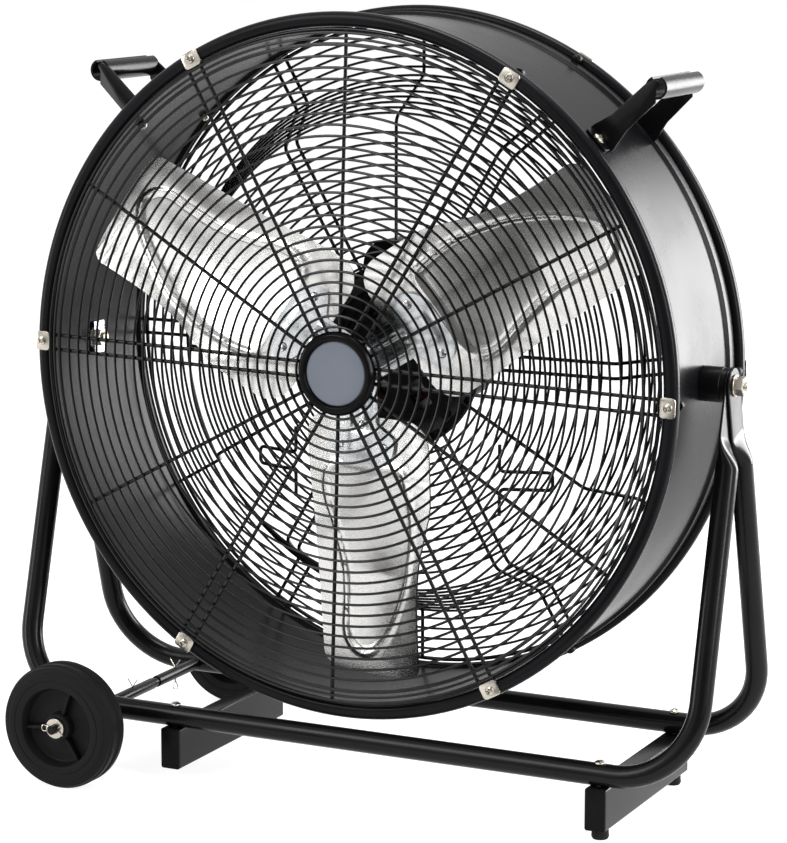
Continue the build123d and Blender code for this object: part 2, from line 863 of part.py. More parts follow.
def make_wheel():
    """Wheel with a recess in each face, turned about Y with its middle at the origin."""
    half = wheel_width / 2
    web = wheel_web / 2
    boss = half
    bore = axle_radius + wheel_running_gap
    wheel = turned([
        (bore, -boss),
        (wheel_boss_radius, -boss),
        (wheel_boss_radius, -web),
        (wheel_recess_radius, -web),
        (wheel_recess_radius, -half),
        (wheel_radius, -half),
        (wheel_radius, half),
        (wheel_recess_radius, half),
        (wheel_recess_radius, web),
        (wheel_boss_radius, web),
        (wheel_boss_radius, boss),
        (bore, boss),
    ])
    rib_length = wheel_recess_radius - wheel_boss_radius + 2
    rib = Box(rib_length, wheel_web + 2 * wheel_rib_height, wheel_rib)
    rib = Pos(wheel_boss_radius - 1 + rib_length / 2, 0, 0) * rib
    for index in range(wheel_ribs):
        wheel += around(60 + index * 360 / wheel_ribs) * rib
    return wheel


def place_wheel(side):
    middle = side * (wheel_inner_y + wheel_width / 2)
    return Pos(axle_x, middle, axle_height) * make_wheel()


# ---- fan ----
def pitch_plane(radius, pitch):
    """Section plane at a radius: its x lies along the chord and its y points at the front."""
    angle = math.radians(pitch)
    chord = (0, -math.sin(angle), math.cos(angle))
    return Plane(origin=(radius, fan_y, 0), x_dir=chord, z_dir=(1, 0, 0))


def blade_section(radius, chord, pitch, camber):
    """Thin arched strip across the blade."""
    half = chord / 2
    sheet = blade_sheet / 2
    plane = pitch_plane(radius, pitch)
    if camber == 0:
        return plane * Rectangle(chord, blade_sheet)
    front = ThreePointArc((-half, sheet), (0, sheet - camber), (half, sheet))
    back = ThreePointArc((half, -sheet), (0, -sheet - camber), (-half, -sheet))
    ends = [Line((half, sheet), (half, -sheet)), Line((-half, -sheet), (-half, sheet))]
    return plane * make_face([front, ends[0], back, ends[1]])


def make_blade():
    """Blade along +X: a flat root, then a twisted and cambered paddle."""
    flat_start = blade_section(blade_root_radius, blade_root_chord, blade_root_pitch, 0)
    flat_end = blade_section(blade_flat_radius, blade_root_chord, blade_root_pitch, 0)
    middle = blade_section(blade_middle_radius, blade_middle_chord, blade_middle_pitch, blade_middle_camber)
    tip = blade_section(blade_tip_radius + 10, blade_tip_chord, blade_tip_pitch, blade_tip_camber)
    root = loft([flat_start, flat_end], ruled=True)
    paddle = loft([flat_end, middle, tip], ruled=True)
    blade = root + paddle
    reach = blade_root_chord
    root_half = blade_root_chord / 2 * math.cos(math.radians(blade_root_pitch)) + 0.5
    tip_half = blade_tip_chord / 2 * math.cos(math.radians(blade_tip_pitch)) + 0.5
    stations = [(blade_root_radius, root_half), (blade_flat_radius, root_half), (blade_tip_radius, tip_half)]
    edge = [(radius, -half) for radius, half in stations]
    window = Polygon(*edge, *[(radius, half) for radius, half in reversed(stations)], align=None)
    corners = window.vertices().sort_by(Axis.X)
    window = fillet(corners[:2], blade_root_corner)
    window = fillet(window.vertices().sort_by(Axis.X)[-2:], blade_tip_corner)
    cutter = Pos(0, fan_y, 0) * Rot(90, 0, 0) * extrude(window, reach, both=True)
    blade = blade & cutter & y_rod(blade_tip_radius, fan_y - reach, fan_y + reach)
    for hole in rivet_rods(rivet_radius, -10, 10, hole_clearance):
        blade -= hole
    return blade


def rivet_rods(radius, start, end, grow=0.0):
    """Bars square to the root of the blade along +X, one at each rivet."""
    spots = [
        (rivet_outer_radius, rivet_half_spacing),
        (rivet_outer_radius, -rivet_half_spacing),
        (rivet_inner_radius, 0),
    ]
    plane = pitch_plane(0, blade_root_pitch)
    rods = []
    for spot_radius, across in spots:
        spot = plane.from_local_coords(Vector(across, 0, spot_radius))
        normal = plane.y_dir
        rods.append(Plane(origin=spot, z_dir=normal) * peg(radius, start, end, grow))
    return rods


def blade_places():
    return [around(blade_first_angle + index * 360 / blade_count) for index in range(blade_count)]


def make_spider():
    front = blade_sheet / 2
    plane = pitch_plane(0, blade_root_pitch)
    pad_plane = Plane(origin=plane.origin + plane.y_dir * front, x_dir=(1, 0, 0), z_dir=plane.y_dir)
    inner = spider_pad_radius - spider_pad_length
    pad = Pos((inner + spider_pad_radius) / 2, 0) * RectangleRounded(
        spider_pad_radius - inner, spider_pad_width, spider_pad_corner)
    arm_length = spider_pad_radius - spider_pad_corner
    arm = Pos(arm_length / 2, 0) * Rectangle(arm_length, spider_arm_width)
    plate = extrude(pad_plane * (pad + arm), spider_sheet)
    for hole in rivet_rods(rivet_radius, -10, 10, hole_clearance):
        plate -= hole
    boss = y_rod(fan_boss_radius, fan_y - fan_boss_length / 2, fan_y + fan_boss_length / 2)
    spider = boss
    for place in blade_places():
        spider += place * plate
    spider -= y_rod(shaft_radius + shaft_fit, fan_y - fan_boss_length, fan_y + fan_boss_length)
    return spider - set_screw(set_screw_radius + hole_clearance)


def set_screw(radius):
    return around(90) * x_rod(radius, shaft_radius + shaft_fit, fan_boss_radius, fan_y + fan_boss_length / 3)


def make_rivets():
    front = blade_sheet / 2 + spider_sheet
    back = -blade_sheet / 2
    rivets = []
    for shank, head, tail in zip(
        rivet_rods(rivet_radius, back, front),
        rivet_rods(rivet_head_radius, front, front + rivet_head),
        rivet_rods(rivet_head_radius, back - rivet_head, back),
    ):
        rivets.append(shank + head + tail)
    return group([place * rivet for place in blade_places() for rivet in rivets])


# ---- motor ----
def plate_screw_place(index):
    """Place of a motor screw on its circle, clear of the spokes."""
    return around(45 + index * 360 / plate_screw_count) * Pos(plate_screw_circle, 0, 0)


def make_motor_plate():
    plate = y_rod(motor_plate_radius, plate_y, bell_y)
    plate -= y_rod(motor_vent_outer_radius, plate_y - 1, bell_y + 1)
    for index in range(plate_screw_count):
        plate -= plate_screw_place(index) * plate_screw_hole()
    return plate


def plate_screw_hole():
    return peg_y(plate_screw_radius, 0, 2 * bell_y, 0, 0, hole_clearance)


def make_plate_screws():
    front = dish_floor_y - spoke_wire / 2
    screw = peg_y(plate_screw_head_radius, front - plate_screw_head, front)
    screw += peg_y(plate_screw_radius, front, bell_y + motor_wall)
    return group([plate_screw_place(index) * screw for index in range(plate_screw_count)])


def make_front_bell():
    """Front half of the motor's casing: a lug ring, a vented face and a bearing seat."""
    middle = (bell_y + motor_rear_y) / 2
    seat_outer = bearing_radius + bearing_seat_wall
    bell = turned([
        (shaft_radius + 2, bell_y),
        (motor_plate_radius - 3, bell_y),
        (motor_plate_radius - 3, bell_y + motor_wall),
        (motor_radius, bell_y + motor_wall),
        (motor_radius, middle),
        (motor_radius - motor_wall, middle),
        (motor_radius - motor_wall, bell_y + motor_wall),
        (seat_outer, bell_y + motor_wall),
        (seat_outer, bell_y + motor_wall + bearing_width),
        (bearing_radius, bell_y + motor_wall + bearing_width),
        (bearing_radius, bell_y + motor_wall),
        (shaft_radius + 2, bell_y + motor_wall),
    ])
    vent_length = motor_vent_outer_radius - motor_vent_inner_radius
    vent = Box(vent_length, 4 * motor_wall, motor_vent_width)
    vent = Pos(motor_vent_inner_radius + vent_length / 2, bell_y, 0) * vent
    for index in range(motor_vents):
        bell -= around(index * 360 / motor_vents) * vent
    for index in range(plate_screw_count):
        bell -= plate_screw_place(index) * plate_screw_hole()
    return bell


def make_rear_bell():
    """Rear half of the casing, closed by the control box behind it."""
    middle = (bell_y + motor_rear_y) / 2
    seat_outer = bearing_radius + bearing_seat_wall
    return turned([
        (0, motor_rear_y),
        (motor_radius, motor_rear_y),
        (motor_radius, middle),
        (motor_radius - motor_wall, middle),
        (motor_radius - motor_wall, motor_rear_y - motor_wall),
        (seat_outer, motor_rear_y - motor_wall),
        (seat_outer, motor_rear_y - motor_wall - bearing_width),
        (bearing_radius, motor_rear_y - motor_wall - bearing_width),
        (bearing_radius, motor_rear_y - motor_wall),
        (0, motor_rear_y - motor_wall),
    ])


def make_bearing(start):
    return barrel_y(bearing_radius - 0.02, shaft_radius + shaft_fit, start, start + bearing_width)


def stator_start():
    return (bell_y + motor_rear_y - stator_depth) / 2


def make_stator():
    start = stator_start()
    outer = motor_radius - motor_wall - side_play
    return barrel_y(outer, stator_bore, start, start + stator_depth)


def make_rotor_core():
    start = stator_start()
    return barrel_y(stator_bore - rotor_air_gap, shaft_radius + shaft_fit, start, start + stator_depth)


def make_shaft():
    return y_rod(shaft_radius, fan_y - fan_boss_length / 2 - 2, motor_rear_y - motor_wall - side_play)


# ---- control box ----
def make_control_box():
    height = control_box_top - control_box_bottom
    front = motor_rear_y
    outline = RectangleRounded(control_box_width, height, control_box_corner)
    box = extrude(outline, control_box_depth)
    box = Rot(-90, 0, 0) * box
    box = Pos(0, front, (control_box_top + control_box_bottom) / 2) * box
    edges = box.edges().group_by(Axis.Y)[-1]
    box = chamfer(edges, 2.5)
    hole_depth = knob_shaft_depth + 1
    box -= y_rod(knob_shaft_radius + shaft_fit, box_rear_y - hole_depth, box_rear_y + 1, 0, knob_z)
    return box


def make_knob():
    start = box_rear_y + knob_gap
    knob = y_rod(knob_radius, start, start + knob_base, 0, knob_z)
    knob += y_rod(knob_grip_radius, start + knob_base, start + knob_height, 0, knob_z)
    pointer = Box(5, knob_height - knob_base, knob_radius * 1.7)
    knob += Pos(0, start + knob_base + (knob_height - knob_base) / 2, knob_z) * pointer
    knob += y_rod(knob_shaft_radius, box_rear_y - knob_shaft_depth, start + 1, 0, knob_z)
    return knob


def make_cable_gland():
    bottom = control_box_bottom
    middle_y = motor_rear_y + control_box_depth / 2
    gland = Pos(0, middle_y, bottom - gland_length) * extrude(RegularPolygon(gland_radius, barrel_sides), gland_length)
    return gland - peg_z(gland_bore, bottom - gland_length - 1, bottom - 2, 0, middle_y)


# ---- write every piece ----
os.makedirs("parts", exist_ok=True)

stand_nodes = {
    "front_stand_frame": make_stand_frame(-1, tab_start_x + tab_thickness / 2),
    "rear_stand_frame": make_stand_frame(1, tab_start_x + 1.5 * tab_thickness + side_play),
    "left_cross_member": make_cross_member(left_member_x),
    "right_cross_member": make_cross_member(right_member_x),
    "cross_member_caps": make_cross_member_caps(),
    "rubber_feet": make_rubber_feet(),
    "frame_screws": make_frame_screws(),
    "axle_rod": make_axle_rod(),
    "front_axle_sleeve": make_axle_sleeve(-1),
    "rear_axle_sleeve": make_axle_sleeve(1),
    "sleeve_pins": make_sleeve_pins(),
    "axle_washers": make_axle_washers(),
    "axle_split_pins": make_axle_pins(),
    "front_wheel": place_wheel(-1),
    "rear_wheel": place_wheel(1),
}

drum_nodes = {
    "drum_shell": make_drum_shell(),
    "front_grille_frame": make_front_grille_frame(),
    "front_grille_rings": make_front_grille_rings(),
    "badge_ring": make_badge_ring(),
    "badge_disc": make_badge_disc(),
    "front_grille_clips": make_clips(-1),
    "rear_grille_clips": make_clips(1),
    "clip_screws": make_clip_screws(),
    "clip_screw_caps": make_clip_caps(),
    "rear_grille_frame": make_rear_grille_frame(),
    "rear_grille_rings": make_rear_grille_rings(),
    "cord_hooks": make_cord_hooks(),
    "right_handle": handle_places()[0] * make_handle(),
    "left_handle": handle_places()[1] * make_handle(),
    "handle_screws": make_handle_screws(),
    "handle_nuts": make_handle_nuts(),
    "pivot_spacers": make_pivot_spacers(),
    "pivot_inner_washers": make_pivot_washers(),
    "pivot_straps": make_pivot_straps(),
    "pivot_bolts": make_pivot_bolts(),
    "pivot_outer_washers": make_outer_washers(),
    "pivot_nuts": make_pivot_nuts(),
    "motor_mounting_plate": make_motor_plate(),
    "motor_plate_screws": make_plate_screws(),
    "motor_front_bell": make_front_bell(),
    "motor_rear_bell": make_rear_bell(),
    "front_bearing": make_bearing(bell_y + motor_wall),
    "rear_bearing": make_bearing(motor_rear_y - motor_wall - bearing_width),
    "motor_stator": make_stator(),
    "control_box": make_control_box(),
    "cable_gland": make_cable_gland(),
    "speed_knob": make_knob(),
}

rotor_nodes = {
    "fan_spider": make_spider(),
    "blade_rivets": make_rivets(),
    "fan_set_screw": set_screw(set_screw_radius),
    "motor_shaft": make_shaft(),
    "motor_rotor_core": make_rotor_core(),
}
blade = make_blade()
for index, place in enumerate(blade_places()):
    rotor_nodes[f"fan_blade_{index + 1}"] = place * blade

for name, part in stand_nodes.items():
    save(part, name)
for name, part in {**drum_nodes, **rotor_nodes}.items():
    save(lift * part, name)
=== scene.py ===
import json
import math

import bmesh
import bpy
from mathutils import Matrix, Vector


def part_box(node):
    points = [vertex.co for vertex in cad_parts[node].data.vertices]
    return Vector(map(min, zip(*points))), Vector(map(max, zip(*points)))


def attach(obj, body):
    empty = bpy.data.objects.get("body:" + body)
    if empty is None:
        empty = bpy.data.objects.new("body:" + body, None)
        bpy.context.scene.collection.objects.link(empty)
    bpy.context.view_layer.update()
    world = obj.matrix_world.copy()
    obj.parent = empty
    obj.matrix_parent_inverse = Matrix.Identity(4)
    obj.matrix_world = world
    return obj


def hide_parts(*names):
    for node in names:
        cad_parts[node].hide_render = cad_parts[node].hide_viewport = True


# Looks of the drum fan. Sizes are in millimetres until a mesh is made, +Z up, air blows to -Y.
# What sits on the drum is made about the middle of the pivots and lifted with atPivot.

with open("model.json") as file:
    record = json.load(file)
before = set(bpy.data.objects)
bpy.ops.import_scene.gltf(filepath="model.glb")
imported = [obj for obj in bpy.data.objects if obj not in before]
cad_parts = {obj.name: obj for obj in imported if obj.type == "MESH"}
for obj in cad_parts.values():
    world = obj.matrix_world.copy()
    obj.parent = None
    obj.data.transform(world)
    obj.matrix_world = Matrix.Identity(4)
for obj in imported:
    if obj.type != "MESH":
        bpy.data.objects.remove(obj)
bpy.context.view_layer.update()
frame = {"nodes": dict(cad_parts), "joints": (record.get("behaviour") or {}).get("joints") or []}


def inMillimetres(corner):
    return [value * 1000 for value in corner]


def boxOf(node):
    low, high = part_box(node)
    return inMillimetres(low), inMillimetres(high)


def jointPlace(name):
    joint = next(joint for joint in frame["joints"] if joint["name"] == name)
    return inMillimetres(joint["pos_m"])


pivotHeight = jointPlace("drum_tilt")[2]
identity = Matrix.Identity(4)
atPivot = Matrix.Translation((0, 0, pivotHeight))
axisHole = 0.05  # profiles stop this far from the axis, so that the spin leaves a closed core


# Turn about the fan's axis, from +X towards +Z.
def around(angle):
    return Matrix.Rotation(math.radians(-angle), 4, "Y")


def moved(x=0.0, y=0.0, z=0.0):
    return Matrix.Translation((x, y, z))


def turnedAbout(axis, angle):
    return Matrix.Rotation(math.radians(angle), 4, axis)


def mix(low, high, share):
    return low + (high - low) * share


def smooth(value):
    value = min(max(value, 0.0), 1.0)
    return value * value * (3 - 2 * value)


def circle(radius, count):
    turns = [2 * math.pi / count * index for index in range(count)]
    return [(radius * math.cos(turn), radius * math.sin(turn)) for turn in turns]


# Rounds the corners of a path: each corner is (coordinates, radius).
def roundedPath(corners, closed, steps=5):
    points = []
    count = len(corners)
    for index, (corner, radius) in enumerate(corners):
        corner = Vector(corner)
        if radius == 0 or (not closed and index in (0, count - 1)):
            points.append(corner)
            continue
        before = (Vector(corners[index - 1][0]) - corner).normalized()
        after = (Vector(corners[(index + 1) % count][0]) - corner).normalized()
        half = before.angle(after) / 2
        if half > math.pi / 2 - 0.01:
            points.append(corner)
            continue
        reach = radius / math.tan(half)
        centre = corner + (before + after).normalized() * (radius / math.sin(half))
        start = corner + before * reach - centre
        end = corner + after * reach - centre
        turn = start.angle(end)
        for step in range(steps + 1):
            first = math.sin((1 - step / steps) * turn)
            last = math.sin(step / steps * turn)
            points.append(centre + (start * first + end * last) / math.sin(turn))
    return points


def roundedLoop(corners, steps=5):
    path = roundedPath([((x, y, 0), radius) for x, y, radius in corners], True, steps)
    return [(point.x, point.y) for point in path]


def roundedRectangle(width, height, radius, steps=5):
    x = width / 2
    y = height / 2
    corners = [(-x, -y, radius), (x, -y, radius), (x, y, radius), (-x, y, radius)]
    return roundedLoop(corners, steps)


def vertsOf(made):
    return [item for item in made["geom"] if isinstance(item, bmesh.types.BMVert)]


# Adds a mesh to another at each of the places, and frees it.
def copies(bm, source, places):
    mesh = bpy.data.meshes.new("copy")
    source.to_mesh(mesh)
    source.free()
    for place in places:
        start = len(bm.verts)
        bm.from_mesh(mesh)
        bm.verts.ensure_lookup_table()
        bmesh.ops.transform(bm, matrix=place, verts=bm.verts[start:])
    bpy.data.meshes.remove(mesh)


def closedLine(bm, points):
    verts = [bm.verts.new(point) for point in points]
    return verts, [bm.edges.new((verts[index - 1], verts[index])) for index in range(len(verts))]


# Extrudes a closed line of points from one ring to the next.
def skin(bm, rings, place=identity, closed=False):
    source = bmesh.new()
    ring, edges = closedLine(source, rings[0])
    if not closed:
        source.faces.new(ring)
    for points in rings[1:] + (rings[:1] if closed else []):
        edges = [source.edges.get((ring[index - 1], ring[index])) for index in range(len(ring))]
        fresh = set(vertsOf(bmesh.ops.extrude_edge_only(source, edges=edges)))
        ring = [
            next(other for edge in vert.link_edges if (other := edge.other_vert(vert)) in fresh)
            for vert in ring
        ]
        for vert, point in zip(ring, points):
            vert.co = point
    if not closed:
        source.faces.new(ring)
    copies(bm, source, [place])


# Spins a closed (radius, y) profile about the fan's axis.
def lathe(bm, profile, segments, place=identity):
    source = bmesh.new()
    verts, edges = closedLine(source, [(radius, y, 0) for radius, y in profile])
    bmesh.ops.spin(
        source, geom=verts + edges, cent=(0, 0, 0), axis=(0, 1, 0),
        angle=2 * math.pi, steps=segments, use_merge=True,
    )
    copies(bm, source, [place])


def torus(bm, radius, wireRadius, y, segments=128, sides=8):
    lathe(bm, [(radius + u, y + v) for u, v in circle(wireRadius, sides)], segments)


# Round wire along a path of points.
def wire(bm, path, radius, place=identity, sides=10):
    path = [Vector(point) for point in path]
    outline = circle(radius, sides)
    rings = []
    up = None
    for index, point in enumerate(path):
        before = path[max(index - 1, 0)]
        after = path[min(index + 1, len(path) - 1)]
        ahead = (after - before).normalized()
        if up is None:
            up = ahead.orthogonal()
        up = (up - ahead * up.dot(ahead)).normalized()
        side = ahead.cross(up)
        rings.append([point + side * u + up * v for u, v in outline])
    skin(bm, rings, place)


# Plate from an (x, y) outline, thickness along +Z, with its edges rounded over.
def plate(bm, outline, thickness, place=identity, edge=0.0):
    source = bmesh.new()
    bottom = source.faces.new([source.verts.new((x, y, 0)) for x, y in outline])
    top = bmesh.ops.extrude_face_region(source, geom=[bottom], use_keep_orig=True)
    bmesh.ops.translate(source, vec=(0, 0, thickness), verts=vertsOf(top))
    if edge:
        rims = [
            item for item in source.edges
            if abs(item.verts[0].co.z - item.verts[1].co.z) < 0.001
        ]
        bmesh.ops.bevel(
            source, geom=rims, offset=edge, offset_type="OFFSET", segments=2, profile=0.5,
            affect="EDGES", material=-1, clamp_overlap=True,
        )
    copies(bm, source, [place])


# Cuts one mesh out of another.
def carve(bm, cutter):
    objects = []
    for source in (bm, cutter):
        bmesh.ops.recalc_face_normals(source, faces=source.faces)
        mesh = bpy.data.meshes.new("carve")
        source.to_mesh(mesh)
        source.free()
        obj = bpy.data.objects.new("carve", mesh)
        bpy.context.scene.collection.objects.link(obj)
        objects.append(obj)
    target, tool = objects
    modifier = target.modifiers.new("cut", "BOOLEAN")
    modifier.object = tool
    modifier.operation = "DIFFERENCE"
    modifier.solver = "EXACT"
    bpy.context.view_layer.update()
    evaluated = target.evaluated_get(bpy.context.evaluated_depsgraph_get())
    result = bmesh.new()
    result.from_mesh(evaluated.to_mesh())
    evaluated.to_mesh_clear()
    for obj in objects:
        mesh = obj.data
        bpy.data.objects.remove(obj)
        bpy.data.meshes.remove(mesh)
    return result


# Pieces are named after the nodes that they replace: clipScrews stands for clip_screws.
def nodeNamed(name):
    return "".join("_" + letter.lower() if letter.isupper() else letter for letter in name)


def finishPiece(name, bm, material, body, angle=40, place=identity, nodes=None):
    bmesh.ops.remove_doubles(bm, verts=bm.verts, dist=0.001)
    bmesh.ops.recalc_face_normals(bm, faces=bm.faces)
    bmesh.ops.transform(bm, matrix=Matrix.Scale(0.001, 4) @ place, verts=bm.verts)
    mesh = bpy.data.meshes.new(name)
    bm.to_mesh(mesh)
    bm.free()
    for polygon in mesh.polygons:
        polygon.use_smooth = True
    mesh.set_sharp_from_angle(angle=math.radians(angle))
    mesh.materials.append(material)
    obj = bpy.data.objects.new(name, mesh)
    bpy.context.scene.collection.objects.link(obj)
    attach(obj, body)
    if nodes is None:
        nodes = [nodeNamed(name)]
    if nodes:
        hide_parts(*nodes)


# Piece made of one (radius, y, rounding) profile, turned at each of its places.
def turnedPiece(name, material, body, corners, segments, places=(identity,), angle=40,
                lift=identity, steps=5, nodes=None):
    bm = bmesh.new()
    for place in places:
        lathe(bm, roundedLoop(corners, steps), segments, place)
    finishPiece(name, bm, material, body, angle, lift, nodes)


# Wraps a node's output, so that shader maths is written as an expression.
class Signal:
    def __init__(self, tree, socket):
        self.tree = tree
        self.socket = socket

    def math(self, operation, first, second):
        return self.tree.node("ShaderNodeMath", {"operation": operation}, {0: first, 1: second})

    def __add__(self, other):
        return self.math("ADD", self, other)

    def __sub__(self, other):
        return self.math("SUBTRACT", self, other)

    def __rsub__(self, other):
        return self.math("SUBTRACT", other, self)

    def __mul__(self, other):
        return self.math("MULTIPLY", self, other)

    __radd__ = __add__
    __rmul__ = __mul__


class ShaderTree:
    def __init__(self, tree):
        self.tree = tree

    def feed(self, target, value):
        if isinstance(value, Signal):
            self.tree.links.new(value.socket, target)
        elif isinstance(value, tuple) and len(value) == 3 and len(target.default_value) == 4:
            target.default_value = (*value, 1.0)
        else:
            target.default_value = value

    def node(self, kind, settings, inputs, output=0):
        node = self.tree.nodes.new(kind)
        for key, value in settings.items():
            setattr(node, key, value)
        for key, value in inputs.items():
            self.feed(node.inputs[key], value)
        return Signal(self, node.outputs[output])

    # 1 for what the camera sees, also in a mirror or through glass, and 0 for light on the object.
    def seenOrMirrored(self):
        seen = self.node("ShaderNodeLightPath", {}, {}, "Is Camera Ray")
        for ray in ("Is Glossy Ray", "Is Transmission Ray"):
            seen = seen.math("MAXIMUM", seen, self.node("ShaderNodeLightPath", {}, {}, ray))
        return seen


class Finish(ShaderTree):
    def __init__(self, name, **values):
        self.material = bpy.data.materials.new(name)
        self.material.use_nodes = True
        super().__init__(self.material.node_tree)
        self.shader = self.tree.nodes["Principled BSDF"]
        for key, value in values.items():
            self.set(key.replace("_", " "), value)

    def set(self, key, value):
        self.feed(self.shader.inputs[key], value)

    def noise(self, scale, detail=3.0, stretch=(1.0, 1.0, 1.0)):
        place = self.node("ShaderNodeTexCoord", {}, {}, "Object")
        spot = self.node("ShaderNodeMapping", {}, {"Vector": place, "Scale": stretch})
        inputs = {"Vector": spot, "Scale": scale, "Detail": detail}
        return self.node("ShaderNodeTexNoise", {}, inputs, "Fac")

    # Noise stretched over its middle part, then laid between two values.
    def between(self, share, low, high):
        inputs = {"Value": share, "From Min": 0.35, "From Max": 0.65, "To Min": low, "To Max": high}
        return self.node("ShaderNodeMapRange", {"interpolation_type": "SMOOTHSTEP"}, inputs)

    def blendColours(self, share, first, second):
        return self.node("ShaderNodeMix", {"data_type": "RGBA"}, {0: share, 6: first, 7: second}, 2)

    def bump(self, height, strength, distance):
        inputs = {"Height": height, "Strength": strength, "Distance": distance}
        return self.node("ShaderNodeBump", {}, inputs)


# Powder coat: black with a faint cloud in its colour and a fine grain.
def coatedMetal(name, colour, roughness, gloss, grain, grainDepth):
    finish = Finish(name, Metallic=0.0, IOR=1.5, Specular_IOR_Level=gloss)
    cloud = finish.noise(9.0, 4.0)
    fine = finish.noise(grain, 2.0)
    lighter = tuple(value * 1.35 + 0.001 for value in colour)
    finish.set("Base Color", finish.blendColours(finish.between(cloud, 0.0, 1.0), colour, lighter))
    rough = finish.between(cloud, roughness - 0.03, roughness + 0.04) + (fine - 0.5) * 0.05
    finish.set("Roughness", rough)
    finish.set("Normal", finish.bump(fine, 0.25, grainDepth))
    return finish.material


# Metal left bare: rolled streaks over a soft cloud, and a bump where it has a depth.
def bareMetal(name, colour, darker, roughness, stretch, scale=60.0, depth=0.00004):
    finish = Finish(name, Metallic=1.0)
    streaks = finish.noise(scale, 5.0, stretch)
    cloud = finish.noise(14.0, 3.0)
    tone = finish.between(cloud, 0.0, 1.0) * 0.5 + finish.between(streaks, 0.0, 1.0) * 0.5
    finish.set("Base Color", finish.blendColours(tone, darker, colour))
    finish.set("Roughness", finish.between(streaks, roughness - 0.02, roughness + 0.04))
    if depth:
        finish.set("Normal", finish.bump(streaks, 0.2, depth))
    return finish.material


def mouldedPlastic(name, colour, roughness, grain, depth):
    finish = Finish(name, IOR=1.47, Specular_IOR_Level=0.08)
    fine = finish.noise(grain, 3.0)
    cloud = finish.noise(12.0, 2.0)
    lighter = tuple(value * 1.3 + 0.001 for value in colour)
    finish.set("Base Color", finish.blendColours(cloud, colour, lighter))
    finish.set("Roughness", finish.between(fine, roughness - 0.05, roughness + 0.06))
    finish.set("Normal", finish.bump(fine, 0.3, depth))
    return finish.material


evenly = (1.0, 1.0, 1.0)
drumPaint = coatedMetal("drumPaint", (0.0042, 0.0042, 0.0050), 0.26, 0.08, 900.0, 0.00004)
framePaint = coatedMetal("framePaint", (0.0036, 0.0036, 0.0040), 0.22, 0.14, 1100.0, 0.00004)
wirePaint = coatedMetal("wirePaint", (0.0034, 0.0034, 0.0040), 0.22, 0.22, 1400.0, 0.00002)
motorPaint = coatedMetal("motorPaint", (0.0030, 0.0030, 0.0034), 0.38, 0.06, 1300.0, 0.00005)
bladeMetal = bareMetal(
    "bladeMetal", (0.84, 0.83, 0.81), (0.81, 0.80, 0.785), 0.19, (0.4, 1.0, 1.0), 30.0, 0.0)
zincSteel = bareMetal("zincSteel", (0.72, 0.735, 0.75), (0.62, 0.64, 0.66), 0.20, evenly, 40.0, 0.0)
nickelPlate = bareMetal("nickelPlate", (0.58, 0.54, 0.47), (0.44, 0.41, 0.355), 0.26, evenly, 120.0)
groundSteel = bareMetal(
    "groundSteel", (0.60, 0.60, 0.60), (0.45, 0.45, 0.46), 0.25, (1.0, 8.0, 1.0))
laminatedSteel = bareMetal(
    "laminatedSteel", (0.35, 0.35, 0.36), (0.18, 0.18, 0.19), 0.45, (0.2, 30.0, 0.2), 90.0, 0.0002)
# Copper of the windings, painted near black: painted shade of the inside of the motor bells, so
# that the coils read dark through the bells' vents.
copperInPaintedShade = bareMetal(
    "copperInPaintedShade", (0.025, 0.010, 0.006), (0.012, 0.005, 0.003), 0.35, evenly, 300.0, 0.0003)
blackPlastic = mouldedPlastic("blackPlastic", (0.0030, 0.0030, 0.0032), 0.34, 700.0, 0.00010)
wheelPlastic = mouldedPlastic("wheelPlastic", (0.007, 0.007, 0.0075), 0.46, 520.0, 0.00012)
badgeGloss = mouldedPlastic("badgeGloss", (0.002, 0.002, 0.0022), 0.16, 200.0, 0.00002)
badgeSlate = mouldedPlastic("badgeSlate", (0.125, 0.138, 0.162), 0.36, 300.0, 0.00002)
footRubber = mouldedPlastic("footRubber", (0.014, 0.014, 0.014), 0.72, 900.0, 0.00015)
print("materials made")


shellHigh = boxOf("drum_shell")[1]
drum = {
    "rimRadius": shellHigh[0],
    "halfDepth": shellHigh[1],
    "wallRadius": shellHigh[0] - 8.5,
    "sheet": 1.6,
    "beadWidth": 14.0,
    "beadInnerRadius": shellHigh[0] - 13.7,
    "lineGap": 9.0,  # from the front bead to the stamped line
    "lineDepth": 0.9,
    "stepWidth": 20.0,  # raised band in front of the rear bead
    "stepHeight": 3.0,
}


def makeDrumShell():
    rim = drum["rimRadius"]
    wall = drum["wallRadius"]
    inner = wall - drum["sheet"]
    bead = drum["beadInnerRadius"]
    end = drum["halfDepth"]
    beadBack = end - drum["beadWidth"]
    stepStart = beadBack - drum["stepWidth"]
    raised = wall + drum["stepHeight"]
    lineY = -beadBack + drum["lineGap"]
    turnedPiece("drumShell", drumPaint, "drum", [
        (bead, -end, 5.0),
        (rim, -end, 6.4),
        (rim, -beadBack, 5.5),
        (wall, -beadBack, 1.5),
        (wall, lineY - 1.6, 0.5),
        (wall - drum["lineDepth"], lineY, 0.5),
        (wall, lineY + 1.6, 0.5),
        (wall, stepStart, 1.5),
        (raised, stepStart + 3, 1.5),
        (raised, beadBack - 5, 1.5),
        (wall - 0.6, beadBack - 2.5, 0.8),
        (wall + 0.4, beadBack, 0.3),
        (rim, beadBack, 5.5),
        (rim, end, 6.4),
        (bead, end, 5.0),
        (bead, beadBack, 4.0),
        (inner, beadBack, 1.0),
        (inner, -beadBack, 1.0),
        (bead, -beadBack, 4.0),
    ], 192, lift=atPivot)


